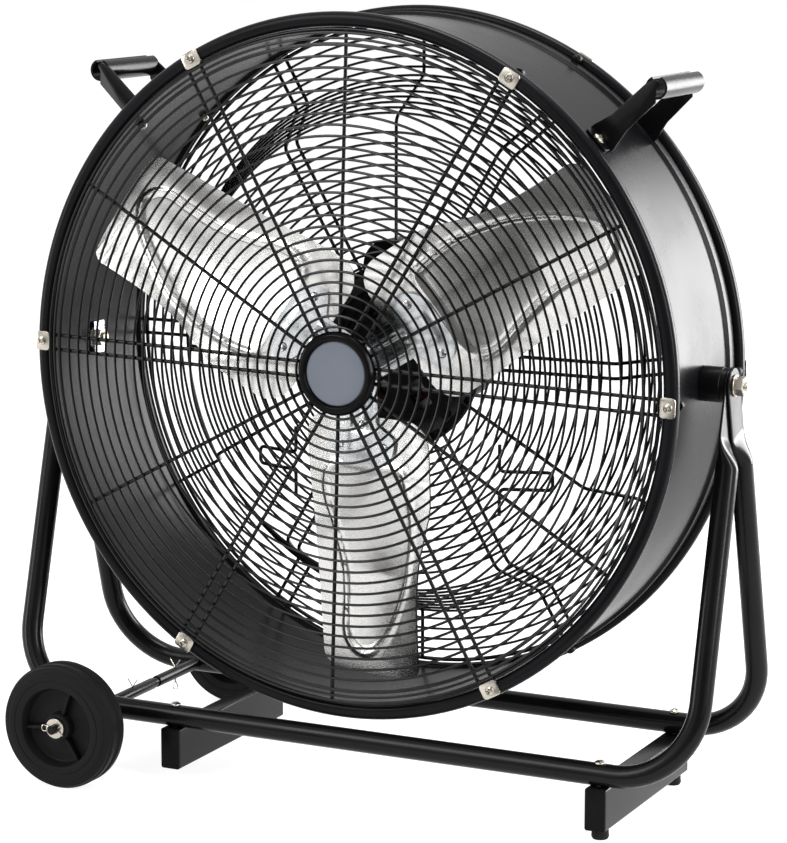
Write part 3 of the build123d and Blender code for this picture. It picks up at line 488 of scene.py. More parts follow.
grille = {
    "spokeRadius": 1.8,
    "ringRadius": 1.3,
    "rimRadius": 2.0,
    "rimGap": 0.3,
    "weld": 0.3,  # how far a ring sinks into the spokes
    "pairSpacing": 14.0,
    "firstRing": 43.0,
    "ringPitch": 10.3,
    "ringCount": 26,
    "closeRings": (311.5, 306.5, 301.5),
    "hubRadius": 32.0,
    "frontTurn": -1.5,
}
dish = {
    "floorY": 26.0,
    "floorRadius": 226.0,
    "mouthRadius": 263.0,
    "slantSpacing": 9.0,
    "bend": 9.0,
    "hubInnerRadius": 68.0,
    "hubWidth": 14.0,
}


# A pair of spokes and a single one in turn, as (angle, sideways offset).
def spokes(start):
    for index in range(6):
        for offset in (-grille["pairSpacing"] / 2, grille["pairSpacing"] / 2):
            yield start + index * 60, offset
        yield start + index * 60 + 30, 0.0


def rimRingRadius():
    return drum["beadInnerRadius"] - grille["rimGap"] - grille["rimRadius"]


def makeFrontGrille():
    bm = bmesh.new()
    end = drum["halfDepth"]
    spoke = grille["spokeRadius"]
    ring = grille["ringRadius"]
    outer = rimRingRadius()
    ringY = -end - 2 * spoke - ring + grille["weld"]
    torus(bm, outer, grille["rimRadius"], -end + grille["rimRadius"], 160, 12)
    for index in range(grille["ringCount"]):
        torus(bm, grille["firstRing"] + index * grille["ringPitch"], ring, ringY)
    for radius in grille["closeRings"]:
        torus(bm, radius, ring, ringY, 160)
    hub = grille["hubRadius"]
    for angle, offset in spokes(grille["frontTurn"]):
        ends = [(hub - 6, -end - spoke, offset), (outer, -end - spoke, offset)]
        wire(bm, ends, spoke, around(angle))
    hubFace = -end - 2 * spoke
    corners = [(2, -end, 0), (2, hubFace, 0), (hub, hubFace, 0.8), (hub, -end, 0.8)]
    lathe(bm, roundedLoop(corners), 64)
    nodes = ["front_grille_frame", "front_grille_rings"]
    finishPiece("frontGrille", bm, wirePaint, "drum", place=atPivot, nodes=nodes)


def makeRearGrille():
    bm = bmesh.new()
    end = drum["halfDepth"]
    spoke = grille["spokeRadius"]
    ring = grille["ringRadius"]
    pitch = grille["ringPitch"]
    outer = rimRingRadius()
    floorRadius = dish["floorRadius"]
    mouthRadius = dish["mouthRadius"]
    hubInner = dish["hubInnerRadius"]
    hubOuter = hubInner + dish["hubWidth"]
    floorY = dish["floorY"] - spoke
    mouthY = end - 2 * grille["rimRadius"] - 2 * spoke
    seat = ring - grille["weld"]
    torus(bm, outer, grille["rimRadius"], end - grille["rimRadius"], 160, 12)
    spokeY = end - 2 * grille["rimRadius"] - spoke
    line = roundedPath([
        ((hubOuter - 3, dish["floorY"], 0), 0),
        ((floorRadius, dish["floorY"], 0), dish["bend"]),
        ((mouthRadius, spokeY, 0), dish["bend"]),
        ((outer, spokeY, 0), 0),
    ], False, 6)
    for angle, offset in spokes(0.0):
        wire(bm, line, spoke, around(angle) @ moved(z=offset))
    radius = hubOuter + pitch * 0.7
    while radius < floorRadius - 3:
        torus(bm, radius, ring, floorY - seat)
        radius += pitch
    rise = mouthY - floorY
    run = mouthRadius - floorRadius
    slant = math.hypot(rise, run)
    count = int(slant / dish["slantSpacing"])
    out = spoke + seat
    for index in range(count + 1):
        share = (index + 0.5) / (count + 1)
        ringY = dish["floorY"] + share * (rise + spoke) - out * run / slant
        torus(bm, floorRadius + share * run + out * rise / slant, ring, ringY)
    radius = mouthRadius + pitch * 0.8
    while radius < outer - 4:
        torus(bm, radius, ring, mouthY - seat)
        radius += pitch
    back = dish["floorY"] + spoke
    section = [(hubInner, floorY), (hubOuter, floorY), (hubOuter, back), (hubInner, back)]
    lathe(bm, roundedLoop([(radius, y, 0.8) for radius, y in section]), 96)
    nodes = ["rear_grille_frame", "rear_grille_rings"]
    finishPiece("rearGrille", bm, wirePaint, "drum", place=atPivot, nodes=nodes)


hook = {
    "wire": 1.8,
    "footX": 109.0,
    "footZ": -113.0,
    "spacing": 17.0,
    "length": 48.0,
    "lift": 16.0,
    "foot": 26.0,
    "bend": 5.0,
}


def makeCordHooks():
    bm = bmesh.new()
    half = hook["spacing"] / 2
    rise = dish["floorY"] - grille["spokeRadius"] + hook["wire"]
    far = half + hook["foot"]
    corners = [(0, rise, far), (0, rise, half)]
    corners += [(hook["length"], rise + hook["lift"], side * half) for side in (1, -1)]
    corners += [(0, rise, -half), (0, rise, -far)]
    bends = [0] + [hook["bend"]] * 4 + [0]
    path = roundedPath(list(zip(corners, bends)), False, 6)
    for side in (1, -1):
        place = Matrix.Scale(side, 4, (1, 0, 0)) @ moved(hook["footX"], 0, hook["footZ"])
        wire(bm, path, hook["wire"], place)
    finishPiece("cordHooks", bm, wirePaint, "drum", place=atPivot)


badge = {
    "radius": 39.5,
    "height": 8.6,
    "discRadius": 30.0,
    "discGap": 0.15,
    "disc": 3.6,
    "floor": 2.2,
}


def makeBadge():
    back = -drum["halfDepth"] - 2 * grille["spokeRadius"]
    front = back - badge["height"]
    disc = badge["discRadius"]
    seat = disc + badge["discGap"]
    floor = back - badge["floor"]
    radius = badge["radius"]
    turnedPiece("badgeRing", badgeGloss, "drum", [
        (0.5, back, 0),
        (radius - 0.6, back, 0.6),
        (radius, front + 4.2, 3.5),
        (radius - 3.2, front, 2.6),
        (seat + 1.6, front, 1.6),
        (seat, front + 3.2, 1.0),
        (seat, floor, 0),
        (0.5, floor, 0),
    ], 128, angle=50, lift=atPivot, steps=8)
    face = floor - badge["disc"]
    turnedPiece("badgeDisc", badgeSlate, "drum", [
        (0.3, floor, 0),
        (disc, floor, 0),
        (disc, face + 0.4, 0.8),
        (disc - 1.4, face, 0.8),
        (0.3, face - 0.5, 0),
    ], 96, angle=50, lift=atPivot)


# Screw with a domed head and a cross recess, head up along -Y, seat at y = 0.
def panScrew(radius, height, shank, length):
    bm = bmesh.new()
    lathe(bm, roundedLoop([
        (axisHole, length, 0),
        (shank, length, shank * 0.4),
        (shank, 0, 0),
        (radius, 0, 0.25),
        (radius, -height * 0.45, height * 0.4),
        (radius * 0.45, -height, radius * 0.3),
        (axisHole, -height, 0),
    ]), 28)
    cutter = bmesh.new()
    rings = []
    for y, shrink in ((-height - 0.5, 1.15), (-height * 0.25, 0.75)):
        a = radius * 0.6 * shrink
        b = radius * 0.17 * shrink
        cross = [(a, -b), (a, b), (b, b), (b, a), (-b, a), (-b, b)]
        cross += [(-x, -z) for x, z in cross]
        rings.append([(x, y, z) for x, z in cross])
    skin(cutter, rings)
    return carve(bm, cutter)


clip = {
    "length": 15.0,
    "width": 18.5,
    "thickness": 1.8,
    "corner": 3.6,
    "rimGap": 0.4,
    "screw": (4.4, 2.6, 1.8, 19.0),  # head radius and height, shank radius and length
    "screwCircle": 323.0,
    "capCircle": 326.4,
    "capRadius": 4.6,
    "capLength": 9.0,
}


def clipTurns(side):
    start = grille["frontTurn"] if side < 0 else 0.0
    return [around(start + index * 60) for index in range(6)]


def makeClips():
    depth = drum["halfDepth"]
    outline = roundedRectangle(clip["length"], clip["width"], clip["corner"])
    middle = drum["rimRadius"] - clip["rimGap"] - clip["length"] / 2
    for side, end, name in ((-1, "front", "frontClips"), (1, "rear", "rearClips")):
        bm = bmesh.new()
        for turn in clipTurns(side):
            place = turn @ moved(middle, side * depth, 0) @ turnedAbout("X", -90 * side)
            plate(bm, outline, clip["thickness"], place, 0.45)
        nodes = [f"{end}_grille_clips"]
        finishPiece(name, bm, nickelPlate, "drum", place=atPivot, nodes=nodes)
    bm = bmesh.new()
    places = []
    for side in (-1, 1):
        seat = moved(clip["screwCircle"], side * (depth + clip["thickness"]), 0)
        flip = identity if side < 0 else turnedAbout("X", 180)
        for index, turn in enumerate(clipTurns(side)):
            places.append(turn @ seat @ flip @ turnedAbout("Y", 37 * index + 20))
    copies(bm, panScrew(*clip["screw"]), places)
    finishPiece("clipScrews", bm, nickelPlate, "drum", 35, atPivot)
    bm = bmesh.new()
    mouth = depth - drum["beadWidth"]
    tip = mouth - clip["capLength"]
    wide = clip["capRadius"]
    cap = roundedLoop([
        (axisHole, mouth, 0),
        (wide, mouth, 0.3),
        (wide, tip + 3.5, 2.0),
        (wide * 0.6, tip, 2.0),
        (axisHole, tip, 0),
    ])
    for side in (-1, 1):
        for turn in clipTurns(side):
            lathe(bm, [(r, side * y) for r, y in cap], 24, turn @ moved(clip["capCircle"], 0, 0))
    finishPiece("clipCaps", bm, blackPlastic, "drum", place=atPivot, nodes=["clip_screw_caps"])


handle = {
    "angle": 43.0,
    "frontY": -42.0,
    "rearY": 62.0,
    "frontLean": 4.0,
    "rearLean": 8.0,
    "reach": 69.5,
    "seatGap": 0.1,
    "sheet": 2.2,
    "baseWidth": 29.0,
    "neckWidth": 20.0,
    "neckHeight": 24.0,
    "gripRadius": 10.5,
    "overhang": 1.2,
    "slot": 46.0,  # opening of the rolled grip, in degrees
    "slotAngle": 137.0,
    "footLength": 14.0,
    "screw": (5.4, 3.0, 2.5, 10.0),  # head radius and height, shank radius and length
    "nutWidth": 8.0,
    "nutHeight": 4.0,
    "nutChamfer": 0.5,
    "nutGap": 0.4,  # below the drum's sheet
}


def handleTurn(hand):
    return around(hand * (handle["angle"] - 90))


def handleScrewPlaces():
    middle = handle["sheet"] / 2 + handle["footLength"] / 2
    seat = drum["wallRadius"] + handle["seatGap"] + handle["sheet"]
    for hand in (1, -1):
        for y in (handle["frontY"] - middle, handle["rearY"] + middle):
            yield handleTurn(hand) @ moved(0, y, seat) @ turnedAbout("X", -90)


def makeHandle(name, hand):
    bm = bmesh.new()
    sheet = handle["sheet"]
    base = drum["wallRadius"] + handle["seatGap"]
    gripZ = drum["wallRadius"] + handle["reach"]
    wide = handle["baseWidth"] / 2
    neck = handle["neckWidth"] / 2
    neckZ = base + handle["neckHeight"]
    outer = handle["gripRadius"]
    inner = outer - sheet
    leg = roundedLoop([
        (-wide, base, 0.5),
        (wide, base, 0.5),
        (wide, base + 4, 6),
        (neck, neckZ, 18),
        (neck * 0.96, gripZ - 9, 3),
        (0.5, gripZ - 1, 4),
        (-1.5, gripZ + inner * 0.8, 3),
        (-inner * 0.8, gripZ + inner * 0.45, 3),
        (-neck * 0.94, gripZ - 4, 4),
        (-neck, neckZ, 18),
        (-wide, base + 4, 6),
    ], 6)
    leg = [(x * hand, z) for x, z in leg]
    shift = handle["footLength"] / 2
    foot = roundedRectangle(handle["baseWidth"] - 3, handle["footLength"] + sheet, 4.0)
    ends = (
        (handle["frontY"], -handle["frontLean"], -shift),
        (handle["rearY"], handle["rearLean"], shift),
    )
    for y, lean, footShift in ends:
        tilt = turnedAbout("X", math.degrees(math.atan2(lean, handle["reach"])))
        upright = moved(0, sheet / 2, -base) @ turnedAbout("X", 90)
        plate(bm, leg, sheet, moved(0, y, base) @ tilt @ upright, 0.5)
        plate(bm, foot, sheet, moved(0, y + footShift, base), 0.5)
    gap = math.radians(handle["slot"] / 2)
    first = math.radians(handle["slotAngle"]) + gap
    steps = 40
    angles = [first + (2 * math.pi - 2 * gap) * index / steps for index in range(steps + 1)]
    curl = [(outer * math.cos(a), outer * math.sin(a)) for a in angles]
    curl += [(inner * math.cos(a), inner * math.sin(a)) for a in reversed(angles)]
    start = handle["frontY"] + handle["frontLean"] - handle["overhang"]
    end = handle["rearY"] - handle["rearLean"] + handle["overhang"]
    stations = (start, start + 0.4, end - 0.4, end)
    skin(bm, [[(x * hand, y, gripZ + z) for x, z in curl] for y in stations])
    finishPiece(name, bm, framePaint, "drum", 38, atPivot @ handleTurn(hand))


# Nut or bolt head on +Y: six flats with eased ends and a round face.
def hexagon(bm, width, height, chamfer, place):
    ease = chamfer * 0.6
    rings = []
    for y, shrink in ((0, 0.93), (ease, 1.0), (height - ease, 1.0), (height, 0.93)):
        rings.append([(x * shrink, y, z * shrink) for x, z in circle(width / math.sqrt(3), 6)])
    skin(bm, rings, place)
    face = width / 2 * 0.97
    top = height + 0.35
    corners = [(axisHole, 0.1, 0), (face, 0.1, 0.2), (face, top, 0.4), (axisHole, top, 0)]
    lathe(bm, roundedLoop(corners), 32, place)


def makeHandleFasteners():
    bm = bmesh.new()
    places = [place @ turnedAbout("Y", 25) for place in handleScrewPlaces()]
    copies(bm, panScrew(*handle["screw"]), places)
    finishPiece("handleScrews", bm, nickelPlate, "drum", 35, atPivot)
    bm = bmesh.new()
    depth = moved(0, handle["sheet"] + drum["sheet"] + handle["nutGap"], 0)
    nut = [handle[key] for key in ("nutWidth", "nutHeight", "nutChamfer")]
    for place in handleScrewPlaces():
        hexagon(bm, *nut, place @ depth)
    finishPiece("handleNuts", bm, nickelPlate, "drum", 35, atPivot)


pivot = {
    "bore": 5.2,
    "neckLength": 5.5,  # narrow end of the spacer
    "neckStep": 0.9,
    "washer": 2.0,
    "hexWidth": 16.0,
    "nutHeight": 8.0,
    "nutChamfer": 1.2,
    "headHeight": 5.0,
    "headChamfer": 0.9,
    "strapHalfWidth": 14.0,
    "strap": 2.0,
    "threadLength": 14,
    "threadPitch": 1.25,
    "threadRadius": 4.95,
    "threadRoot": 4.55,
    "tipRadius": 4.0,
    "boltOrigin": 300.0,
}


def bothSides():
    return (identity, turnedAbout("Z", 180))


# Place on the pivots' line whose +Y points outwards.
def alongX(x, turn=identity):
    return turn @ moved(x, 0, 0) @ turnedAbout("Z", -90)


# Where the bolt's head rests: on the washer, the strap and the drum's curved inside.
def boltSeat():
    inner = drum["wallRadius"] - drum["sheet"]
    flat = math.sqrt(inner ** 2 - pivot["strapHalfWidth"] ** 2)
    return flat - 0.1 - pivot["strap"] - pivot["washer"]


def makePivots():
    wall = drum["wallRadius"]
    spacerLow, spacerHigh = boxOf("pivot_spacers")
    washerLow, washerHigh = boxOf("pivot_outer_washers")
    bore = pivot["bore"]
    wide = (spacerHigh[2] - spacerLow[2]) / 2
    narrow = wide - pivot["neckStep"]
    length = spacerHigh[0] - wall
    neck = length - pivot["neckLength"]
    turnedPiece("pivotSpacers", blackPlastic, "drum", [
        (bore, 0.0, 0),
        (wide, 0.0, 0.6),
        (wide, neck, 0.8),
        (narrow, neck + 0.7, 0.4),
        (narrow, length, 0.8),
        (bore, length, 0),
    ], 64, [alongX(wall, turn) for turn in bothSides()], lift=atPivot)
    radius = (washerHigh[2] - washerLow[2]) / 2
    thick = pivot["washer"]
    start = boxOf("pivot_nuts")[1][0] - pivot["nutHeight"] - thick
    corners = [(bore, 0, 0), (radius, 0, 0.5), (radius, thick, 0.7), (bore, thick, 0)]
    places = [alongX(start, turn) for turn in bothSides()]
    turnedPiece("pivotWashers", nickelPlate, "drum", corners, 48, places, lift=atPivot,
                nodes=["pivot_outer_washers"])
    bm = bmesh.new()
    for turn in bothSides():
        place = alongX(start + thick, turn) @ turnedAbout("Y", 12)
        hexagon(bm, pivot["hexWidth"], pivot["nutHeight"], pivot["nutChamfer"], place)
    finishPiece("pivotNuts", bm, nickelPlate, "drum", 35, atPivot)
    bm = bmesh.new()
    end = boxOf("pivot_bolts")[1][0] - pivot["boltOrigin"]
    crest = pivot["threadRadius"]
    profile = [(axisHole, pivot["nutHeight"]), (crest, pivot["nutHeight"])]
    y = end - pivot["threadLength"]
    while y < end - 0.8:
        profile += [(crest, y), (pivot["threadRoot"], y + pivot["threadPitch"] / 2)]
        y += pivot["threadPitch"]
    profile += [(pivot["tipRadius"], end), (axisHole, end)]
    for turn in bothSides():
        lathe(bm, profile, 40, alongX(pivot["boltOrigin"], turn))
        head = alongX(boltSeat() - pivot["headHeight"], turn)
        hexagon(bm, pivot["hexWidth"], pivot["headHeight"], pivot["headChamfer"], head)
    finishPiece("pivotBolts", bm, nickelPlate, "drum", 35, atPivot)


tube = {
    "radius": 10.5,
    "bend": 74.0,
    "halfSpan": 352.0,
    "spread": 94.7,  # of the rails from the middle, at the wheels' height
    "tabLength": 55.0,
    "tabWidth": 32.0,
    "tabSheet": 2.4,
    "blend": 22.0,
    "blendStart": 8.0,  # of the blend, above the tab's end
    "blendEnd": 20.0,  # of round tube below the blend
    "frontTab": 347.3,
    "rearTab": 349.8,
    "flats": 28,
}


# Point in the plane of a leaning frame: down from the pivot, and out from that plane's line.
def leaningPoint(side, x, down, out):
    lean = math.atan2(tube["spread"], pivotHeight - wheel["radius"])
    y = side * (math.sin(lean) * down + math.cos(lean) * out)
    return Vector((x, y, math.sin(lean) * out - math.cos(lean) * down))


def makeStandFrame(name, side):
    drop = math.hypot(tube["spread"], pivotHeight - wheel["radius"])
    radius = tube["radius"]
    half = tube["halfSpan"]
    tab = tube["frontTab"] if side < 0 else tube["rearTab"]
    top = tube["tabWidth"] / 2
    tabEnd = tube["tabLength"] - tube["blendStart"]
    stations = []  # (x, down, roundness from flat to round, half width)
    for step in range(9):
        angle = math.pi / 2 * step / 8
        stations.append((tab, -top * math.cos(angle) * 0.999, 0.0, math.sin(angle) * top))
    stations.append((tab, tabEnd, 0.0, top))
    for share in (step / 10 for step in range(1, 11)):
        down = tabEnd + share * (tube["blend"] + tube["blendStart"])
        stations.append((mix(tab, half, smooth(share)), down, smooth(share), top))
    unit = circle(1.0, tube["flats"])
    rings = []
    for x, down, roundness, reach in stations:
        ring = []
        for c, s in unit:
            flatX = math.copysign(min(abs(c) * 3.0, 1.0), c) * tube["tabSheet"] / 2
            flatOut = s * max(reach, 0.6)
            across = x + mix(flatX, c * radius, roundness)
            ring.append(leaningPoint(side, across, down, mix(flatOut, s * radius, roundness)))
        rings.append(ring)
    down = tube["tabLength"] + tube["blend"] + tube["blendEnd"]
    rings.append([leaningPoint(side, half + c * radius, down, s * radius) for c, s in unit])
    corners = [((half, 0, 0), 0), ((half, drop, 0), tube["bend"]), ((0, drop, 0), 0)]
    centre = (half - tube["bend"], drop - tube["bend"])
    for point in roundedPath(corners, False, 14)[1:-1]:
        ahead = Vector((point.x - centre[0], point.y - centre[1])).normalized()
        ring = []
        for c, s in unit:
            across = point.x + ahead.x * c * radius
            ring.append(leaningPoint(side, across, point.y + ahead.y * c * radius, s * radius))
        rings.append(ring)
    flip = Matrix.Scale(-1, 3, (1, 0, 0))
    bm = bmesh.new()
    skin(bm, rings + [[flip @ point for point in ring] for ring in reversed(rings)])
    finishPiece(name, bm, framePaint, "stand", place=atPivot)


member = {
    "corner": 2.2,
    "wall": 1.6,
    "cap": 2.5,
    "plug": 5.5,
    "screw": (5.2, 3.0, 2.5),  # head radius and height, shank radius
}
members = ("leftCrossMember", "rightCrossMember")


def makeCrossMembers():
    low, high = boxOf("right_cross_member")
    width = high[0] - low[0]
    height = high[2] - low[2]
    wall = member["wall"] * 2
    outer = roundedRectangle(width, height, member["corner"], 4)
    inner = roundedRectangle(width - wall, height - wall, 0.9, 4)
    plug = roundedRectangle(width - wall - 0.4, height - wall - 0.4, 0.8)
    caps = bmesh.new()
    for name in members:
        low, high = boxOf(nodeNamed(name))
        x = (low[0] + high[0]) / 2
        z = (low[2] + high[2]) / 2
        bm = bmesh.new()
        sections = ((outer, low[1]), (outer, high[1]), (inner, high[1]), (inner, low[1]))
        rings = [[(u, y, v) for u, v in outline] for outline, y in sections]
        skin(bm, rings, moved(x, 0, z), True)
        finishPiece(name, bm, framePaint, "stand")
        for side, y in ((-1, low[1]), (1, high[1])):
            place = moved(x, y, z) @ turnedAbout("X", -90 * side)
            plate(caps, outer, member["cap"], place, 0.8)
            plate(caps, plug, -member["plug"], place)
    finishPiece("crossMemberCaps", caps, blackPlastic, "stand")


def makeFeet():
    low, high = boxOf("rubber_feet")
    radius = (high[0] - low[0]) / 2
    top = high[2]
    x = (low[0] + high[0]) / 2
    turnedPiece("rubberFeet", footRubber, "stand", [
        (axisHole, 0, 0),
        (radius - 1.2, 0, 0.8),
        (radius, 2.5, 1.5),
        (radius - 0.6, top, 0.5),
        (axisHole, top, 0),
    ], 40, [moved(x, y, 0) @ turnedAbout("X", 90) for y in (low[1] + radius, high[1] - radius)])


def makeFrameScrews():
    top = wheel["radius"] + tube["radius"]
    bm = bmesh.new()
    places = []
    for name in members:
        low, high = boxOf(nodeNamed(name))
        for side in (-1, 1):
            place = moved((low[0] + high[0]) / 2, side * tube["spread"], top)
            places.append(place @ turnedAbout("X", -90) @ turnedAbout("Y", 30 * side))
    length = top - boxOf("frame_screws")[0][2]
    copies(bm, panScrew(*member["screw"], length), places)
    finishPiece("frameScrews", bm, nickelPlate, "stand", 35)


wheelPlace = jointPlace("front_wheel_spin")
wheel = {
    "radius": wheelPlace[2],
    "width": 32.0,
    "bore": 4.56,
    "recess": 38.5,
    "boss": 14.0,
    "web": 7.0,
    "rib": 8.0,
    "ribStart": 70,
    "ribStep": 117,
    "grooveRadius": 45.8,
    "lipRadius": 52.0,
}


def makeWheel(name, side):
    half = wheel["width"] / 2
    radius = wheel["radius"]
    web = wheel["web"] / 2
    bore = wheel["bore"]
    boss = wheel["boss"]
    groove = wheel["grooveRadius"]
    lip = wheel["lipRadius"]
    recess = wheel["recess"]
    face = [
        (bore, half - 1.5, 0.3),
        (boss - 0.8, half - 1.5, 1.0),
        (boss, web, 1.5),
        (recess - 2.5, web, 2.5),
        (recess, half - 0.6, 0.8),
        (groove - 0.8, half - 0.2, 0.3),
        (groove, half - 1.0, 0.3),
        (groove + 0.8, half - 0.2, 0.3),
        (lip - 0.5, half - 0.2, 0.4),
        (lip + 0.6, half - 1.8, 0.6),
        (radius - 2.2, half - 2.2, 1.2),
        (radius - 1.5, half - 5.5, 0.8),
        (radius, half - 7.0, 0.8),
        (radius, 4.0, 0.5),
        (radius - 1.6, 2.6, 0.4),
    ]
    bm = bmesh.new()
    lathe(bm, roundedLoop(face + [(r, -y, c) for r, y, c in reversed(face)], 3), 96)
    rib = roundedLoop([
        (boss - 2, -1.6, 0.6),
        (recess + 1, -1.3, 0.4),
        (recess + 1, 1.3, 0.4),
        (boss - 2, 1.6, 0.6),
    ], 3)
    for index in range(3):
        for end in (-1, 1):
            turn = around(wheel["ribStart"] + index * wheel["ribStep"])
            place = turn @ turnedAbout("X", -90 * end) @ moved(0, 0, web - 1)
            plate(bm, rib, wheel["rib"], place, 0.5)
    for end in (1, -1):
        collar = [(bore, half - 2.0, 0), (boss - 4, half - 2.0, 0.5)]
        collar += [(boss - 4, half, 0.8), (bore, half, 0.3)]
        lathe(bm, roundedLoop([(r, end * y, c) for r, y, c in collar]), 40)
    place = moved(wheelPlace[0], side * abs(wheelPlace[1]), wheelPlace[2])
    finishPiece(name, bm, wheelPlastic, nodeNamed(name), 35, place)


axle = {
    "radius": 4.5,
    "sleeveBore": 4.6,
    "sleeveRadius": 5.75,
    "washerBore": 4.65,
    "washer": 1.6,
    "pinWire": 0.55,
    "pinInset": 1.0,
}


def makeAxle():
    place = moved(wheelPlace[0], 0, wheelPlace[2])
    end = boxOf("axle_rod")[1][1]
    radius = axle["radius"]
    corners = [(axisHole, -end, 0), (radius, -end, 0.9), (radius, end, 0.9), (axisHole, end, 0)]
    turnedPiece("axleRod", framePaint, "stand", corners, 32, [place])
    bore = axle["sleeveBore"]
    outer = axle["sleeveRadius"]
    for name in ("frontAxleSleeve", "rearAxleSleeve"):
        near, far = (corner[1] for corner in boxOf(nodeNamed(name)))
        corners = [(bore, near, 0), (outer, near, 0.5), (outer, far, 0.5), (bore, far, 0)]
        turnedPiece(name, framePaint, "stand", corners, 36, [place])
    low, high = boxOf("axle_washers")
    radius = (high[0] - low[0]) / 2
    far = high[1]
    near = far - axle["washer"]
    bore = axle["washerBore"]
    corners = [(bore, near, 0), (radius, near, 0.4), (radius, far, 0.6), (bore, far, 0)]
    bm = bmesh.new()
    for side in (-1, 1):
        lathe(bm, roundedLoop([(r, side * y, c) for r, y, c in corners]), 40, place)
    finishPiece("axleWashers", bm, nickelPlate, "stand")
    makePins("axleSplitPins", 0, place, 0)
    makePins("sleevePins", 2, place, -90)


# Split pins along +X, turned: an eye at the near end and legs bent apart at the far end.
def makePins(name, axis, place, turn):
    low, high = boxOf(nodeNamed(name))
    half = (high[axis] - low[axis] - 8) / 2
    bm = bmesh.new()
    for end in (-1, 1):
        seat = place @ moved(0, end * (high[1] - axle["pinInset"]), 0) @ turnedAbout("Y", turn)
        for side in (-1, 1):
            legs = [
                ((-half - 6.4, 0, 0), 0),
                ((-half - 5.6, 0, side * 3.2), 2.2),
                ((-half - 1.6, 0, side * 2.6), 2.0),
                ((-half + 1.4, 0, side * 0.55), 1.5),
                ((half - 4.5, 0, side * 0.55), 2.0),
                ((half + 3.0, 0, side * 5.6), 0),
            ]
            wire(bm, roundedPath(legs, False, 4), axle["pinWire"], seat, 8)
    finishPiece(name, bm, nickelPlate, "stand")


blade = {
    "tip": 298.0,
    "root": 48.0,
    "flatEnd": 104.0,
    "middle": 200.0,
    "sheet": 1.8,
    "rootPitch": 16.0,
    "middlePitch": 15.5,
    "tipPitch": 14.5,
    "middleCamber": 9.0,
    "tipCamber": 6.0,
    "fanY": -45.0,
    "firstAngle": 31.5,
    "rootCorner": 26.0,
    "tipCorner": 12.0,
    # edges across the blade at each radius
    "upperEdge": (
        (40, 79), (130, 80), (160, 72), (185, 64.5), (215, 60.5), (255, 59.5), (300, 60.5),
    ),
    "lowerEdge": ((40, -74), (100, -72), (150, -67), (200, -63), (250, -60), (300, -57)),
    "beadHeight": 2.0,
    "beadWidth": 2.6,
    "panelSink": 0.9,
    "panelEdge": 1.5,
    "panelSlope": 5.0,
    "grid": (96, 60),
    "bunching": 0.55,  # of the grid's rows towards the root and the tip
    # the pressed panel's outline, as (radius, across)
    "panel": (
        (97, 44), (108, 51), (130, 55), (155, 56), (180, 52), (205, 46), (230, 35), (252, 22),
        (270, 7), (279, -8), (277, -21), (268, -30), (254, -33), (230, -32), (200, -33),
        (172, -38), (150, -44), (132, -50), (115, -51), (102, -44), (96, -28), (97, 8),
    ),
}


# Smooth curve through (place, value) points.
def curveThrough(points, place):
    index = 0
    while index < len(points) - 2 and place > points[index + 1][0]:
        index += 1
    before = points[max(index - 1, 0)]
    start = points[index]
    end = points[index + 1]
    after = points[min(index + 2, len(points) - 1)]
    run = end[0] - start[0]
    share = min(max((place - start[0]) / run, 0.0), 1.0)
    startSlope = (end[1] - before[1]) / (end[0] - before[0]) * run
    endSlope = (after[1] - start[1]) / (after[0] - start[0]) * run
    square = share * share
    cube = square * share
    return (
        (2 * cube - 3 * square + 1) * start[1]
        + (cube - 2 * square + share) * startSlope
        + (3 * square - 2 * cube) * end[1]
        + (cube - square) * endSlope
    )


# Closed curve through corner points, as a list of Vectors.
def closedCurve(corners, steps):
    points = []
    count = len(corners)
    for index in range(count):
        a, b, c, d = (Vector(corners[(index + shift) % count]) for shift in (-1, 0, 1, 2))
        for t in (step / steps for step in range(steps)):
            bent = (2 * a - 5 * b + 4 * c - d) * t * t + (3 * b - a - 3 * c + d) * t ** 3
            points.append(0.5 * (2 * b + (c - a) * t + bent))
    return points


# Pitch and camber at a radius.
def bladePitch(radius):
    middle = (blade["middlePitch"], blade["middleCamber"])
    if radius <= blade["middle"]:
        share = max((radius - blade["flatEnd"]) / (blade["middle"] - blade["flatEnd"]), 0.0)
        return mix(blade["rootPitch"], middle[0], share), mix(0.0, middle[1], share)
    share = (radius - blade["middle"]) / (blade["tip"] + 10 - blade["middle"])
    return mix(middle[0], blade["tipPitch"], share), mix(middle[1], blade["tipCamber"], share)


# Point of a surface pitched as the blade is: across it, and out in front of it.
def pitchedPoint(radius, across, out, pitch):
    angle = math.radians(pitch)
    y = blade["fanY"] - math.sin(angle) * across - math.cos(angle) * out
    return Vector((radius, y, math.cos(angle) * across - math.sin(angle) * out))


bladePanel = closedCurve(blade["panel"], 4)


# Distance from the pressed panel's outline, negative inside.
def panelDistance(spot):
    least = math.inf
    inside = False
    for index, end in enumerate(bladePanel):
        start = bladePanel[index - 1]
        run = end - start
        share = min(max((spot - start).dot(run) / run.length_squared, 0.0), 1.0)
        least = min(least, (spot - start - run * share).length)
        if (start.y > spot.y) != (end.y > spot.y):
            if spot.x < start.x + (spot.y - start.y) / (end.y - start.y) * run.x:
                inside = not inside
    return -least if inside else least


# The bead along the panel's outline, and the panel sunk inside it.
def panelLift(radius, across):
    distance = panelDistance(Vector((radius, across)))
    bead = math.exp(-(distance / blade["beadWidth"]) ** 2)
    sunk = smooth((blade["panelEdge"] - distance) / blade["panelSlope"])
    return blade["beadHeight"] * bead - blade["panelSink"] * sunk


def cornerEase(distance, corner):
    if distance >= corner:
        return 0.0
    rest = corner - distance
    return corner - math.sqrt(max(corner * corner - rest * rest, 0.0))


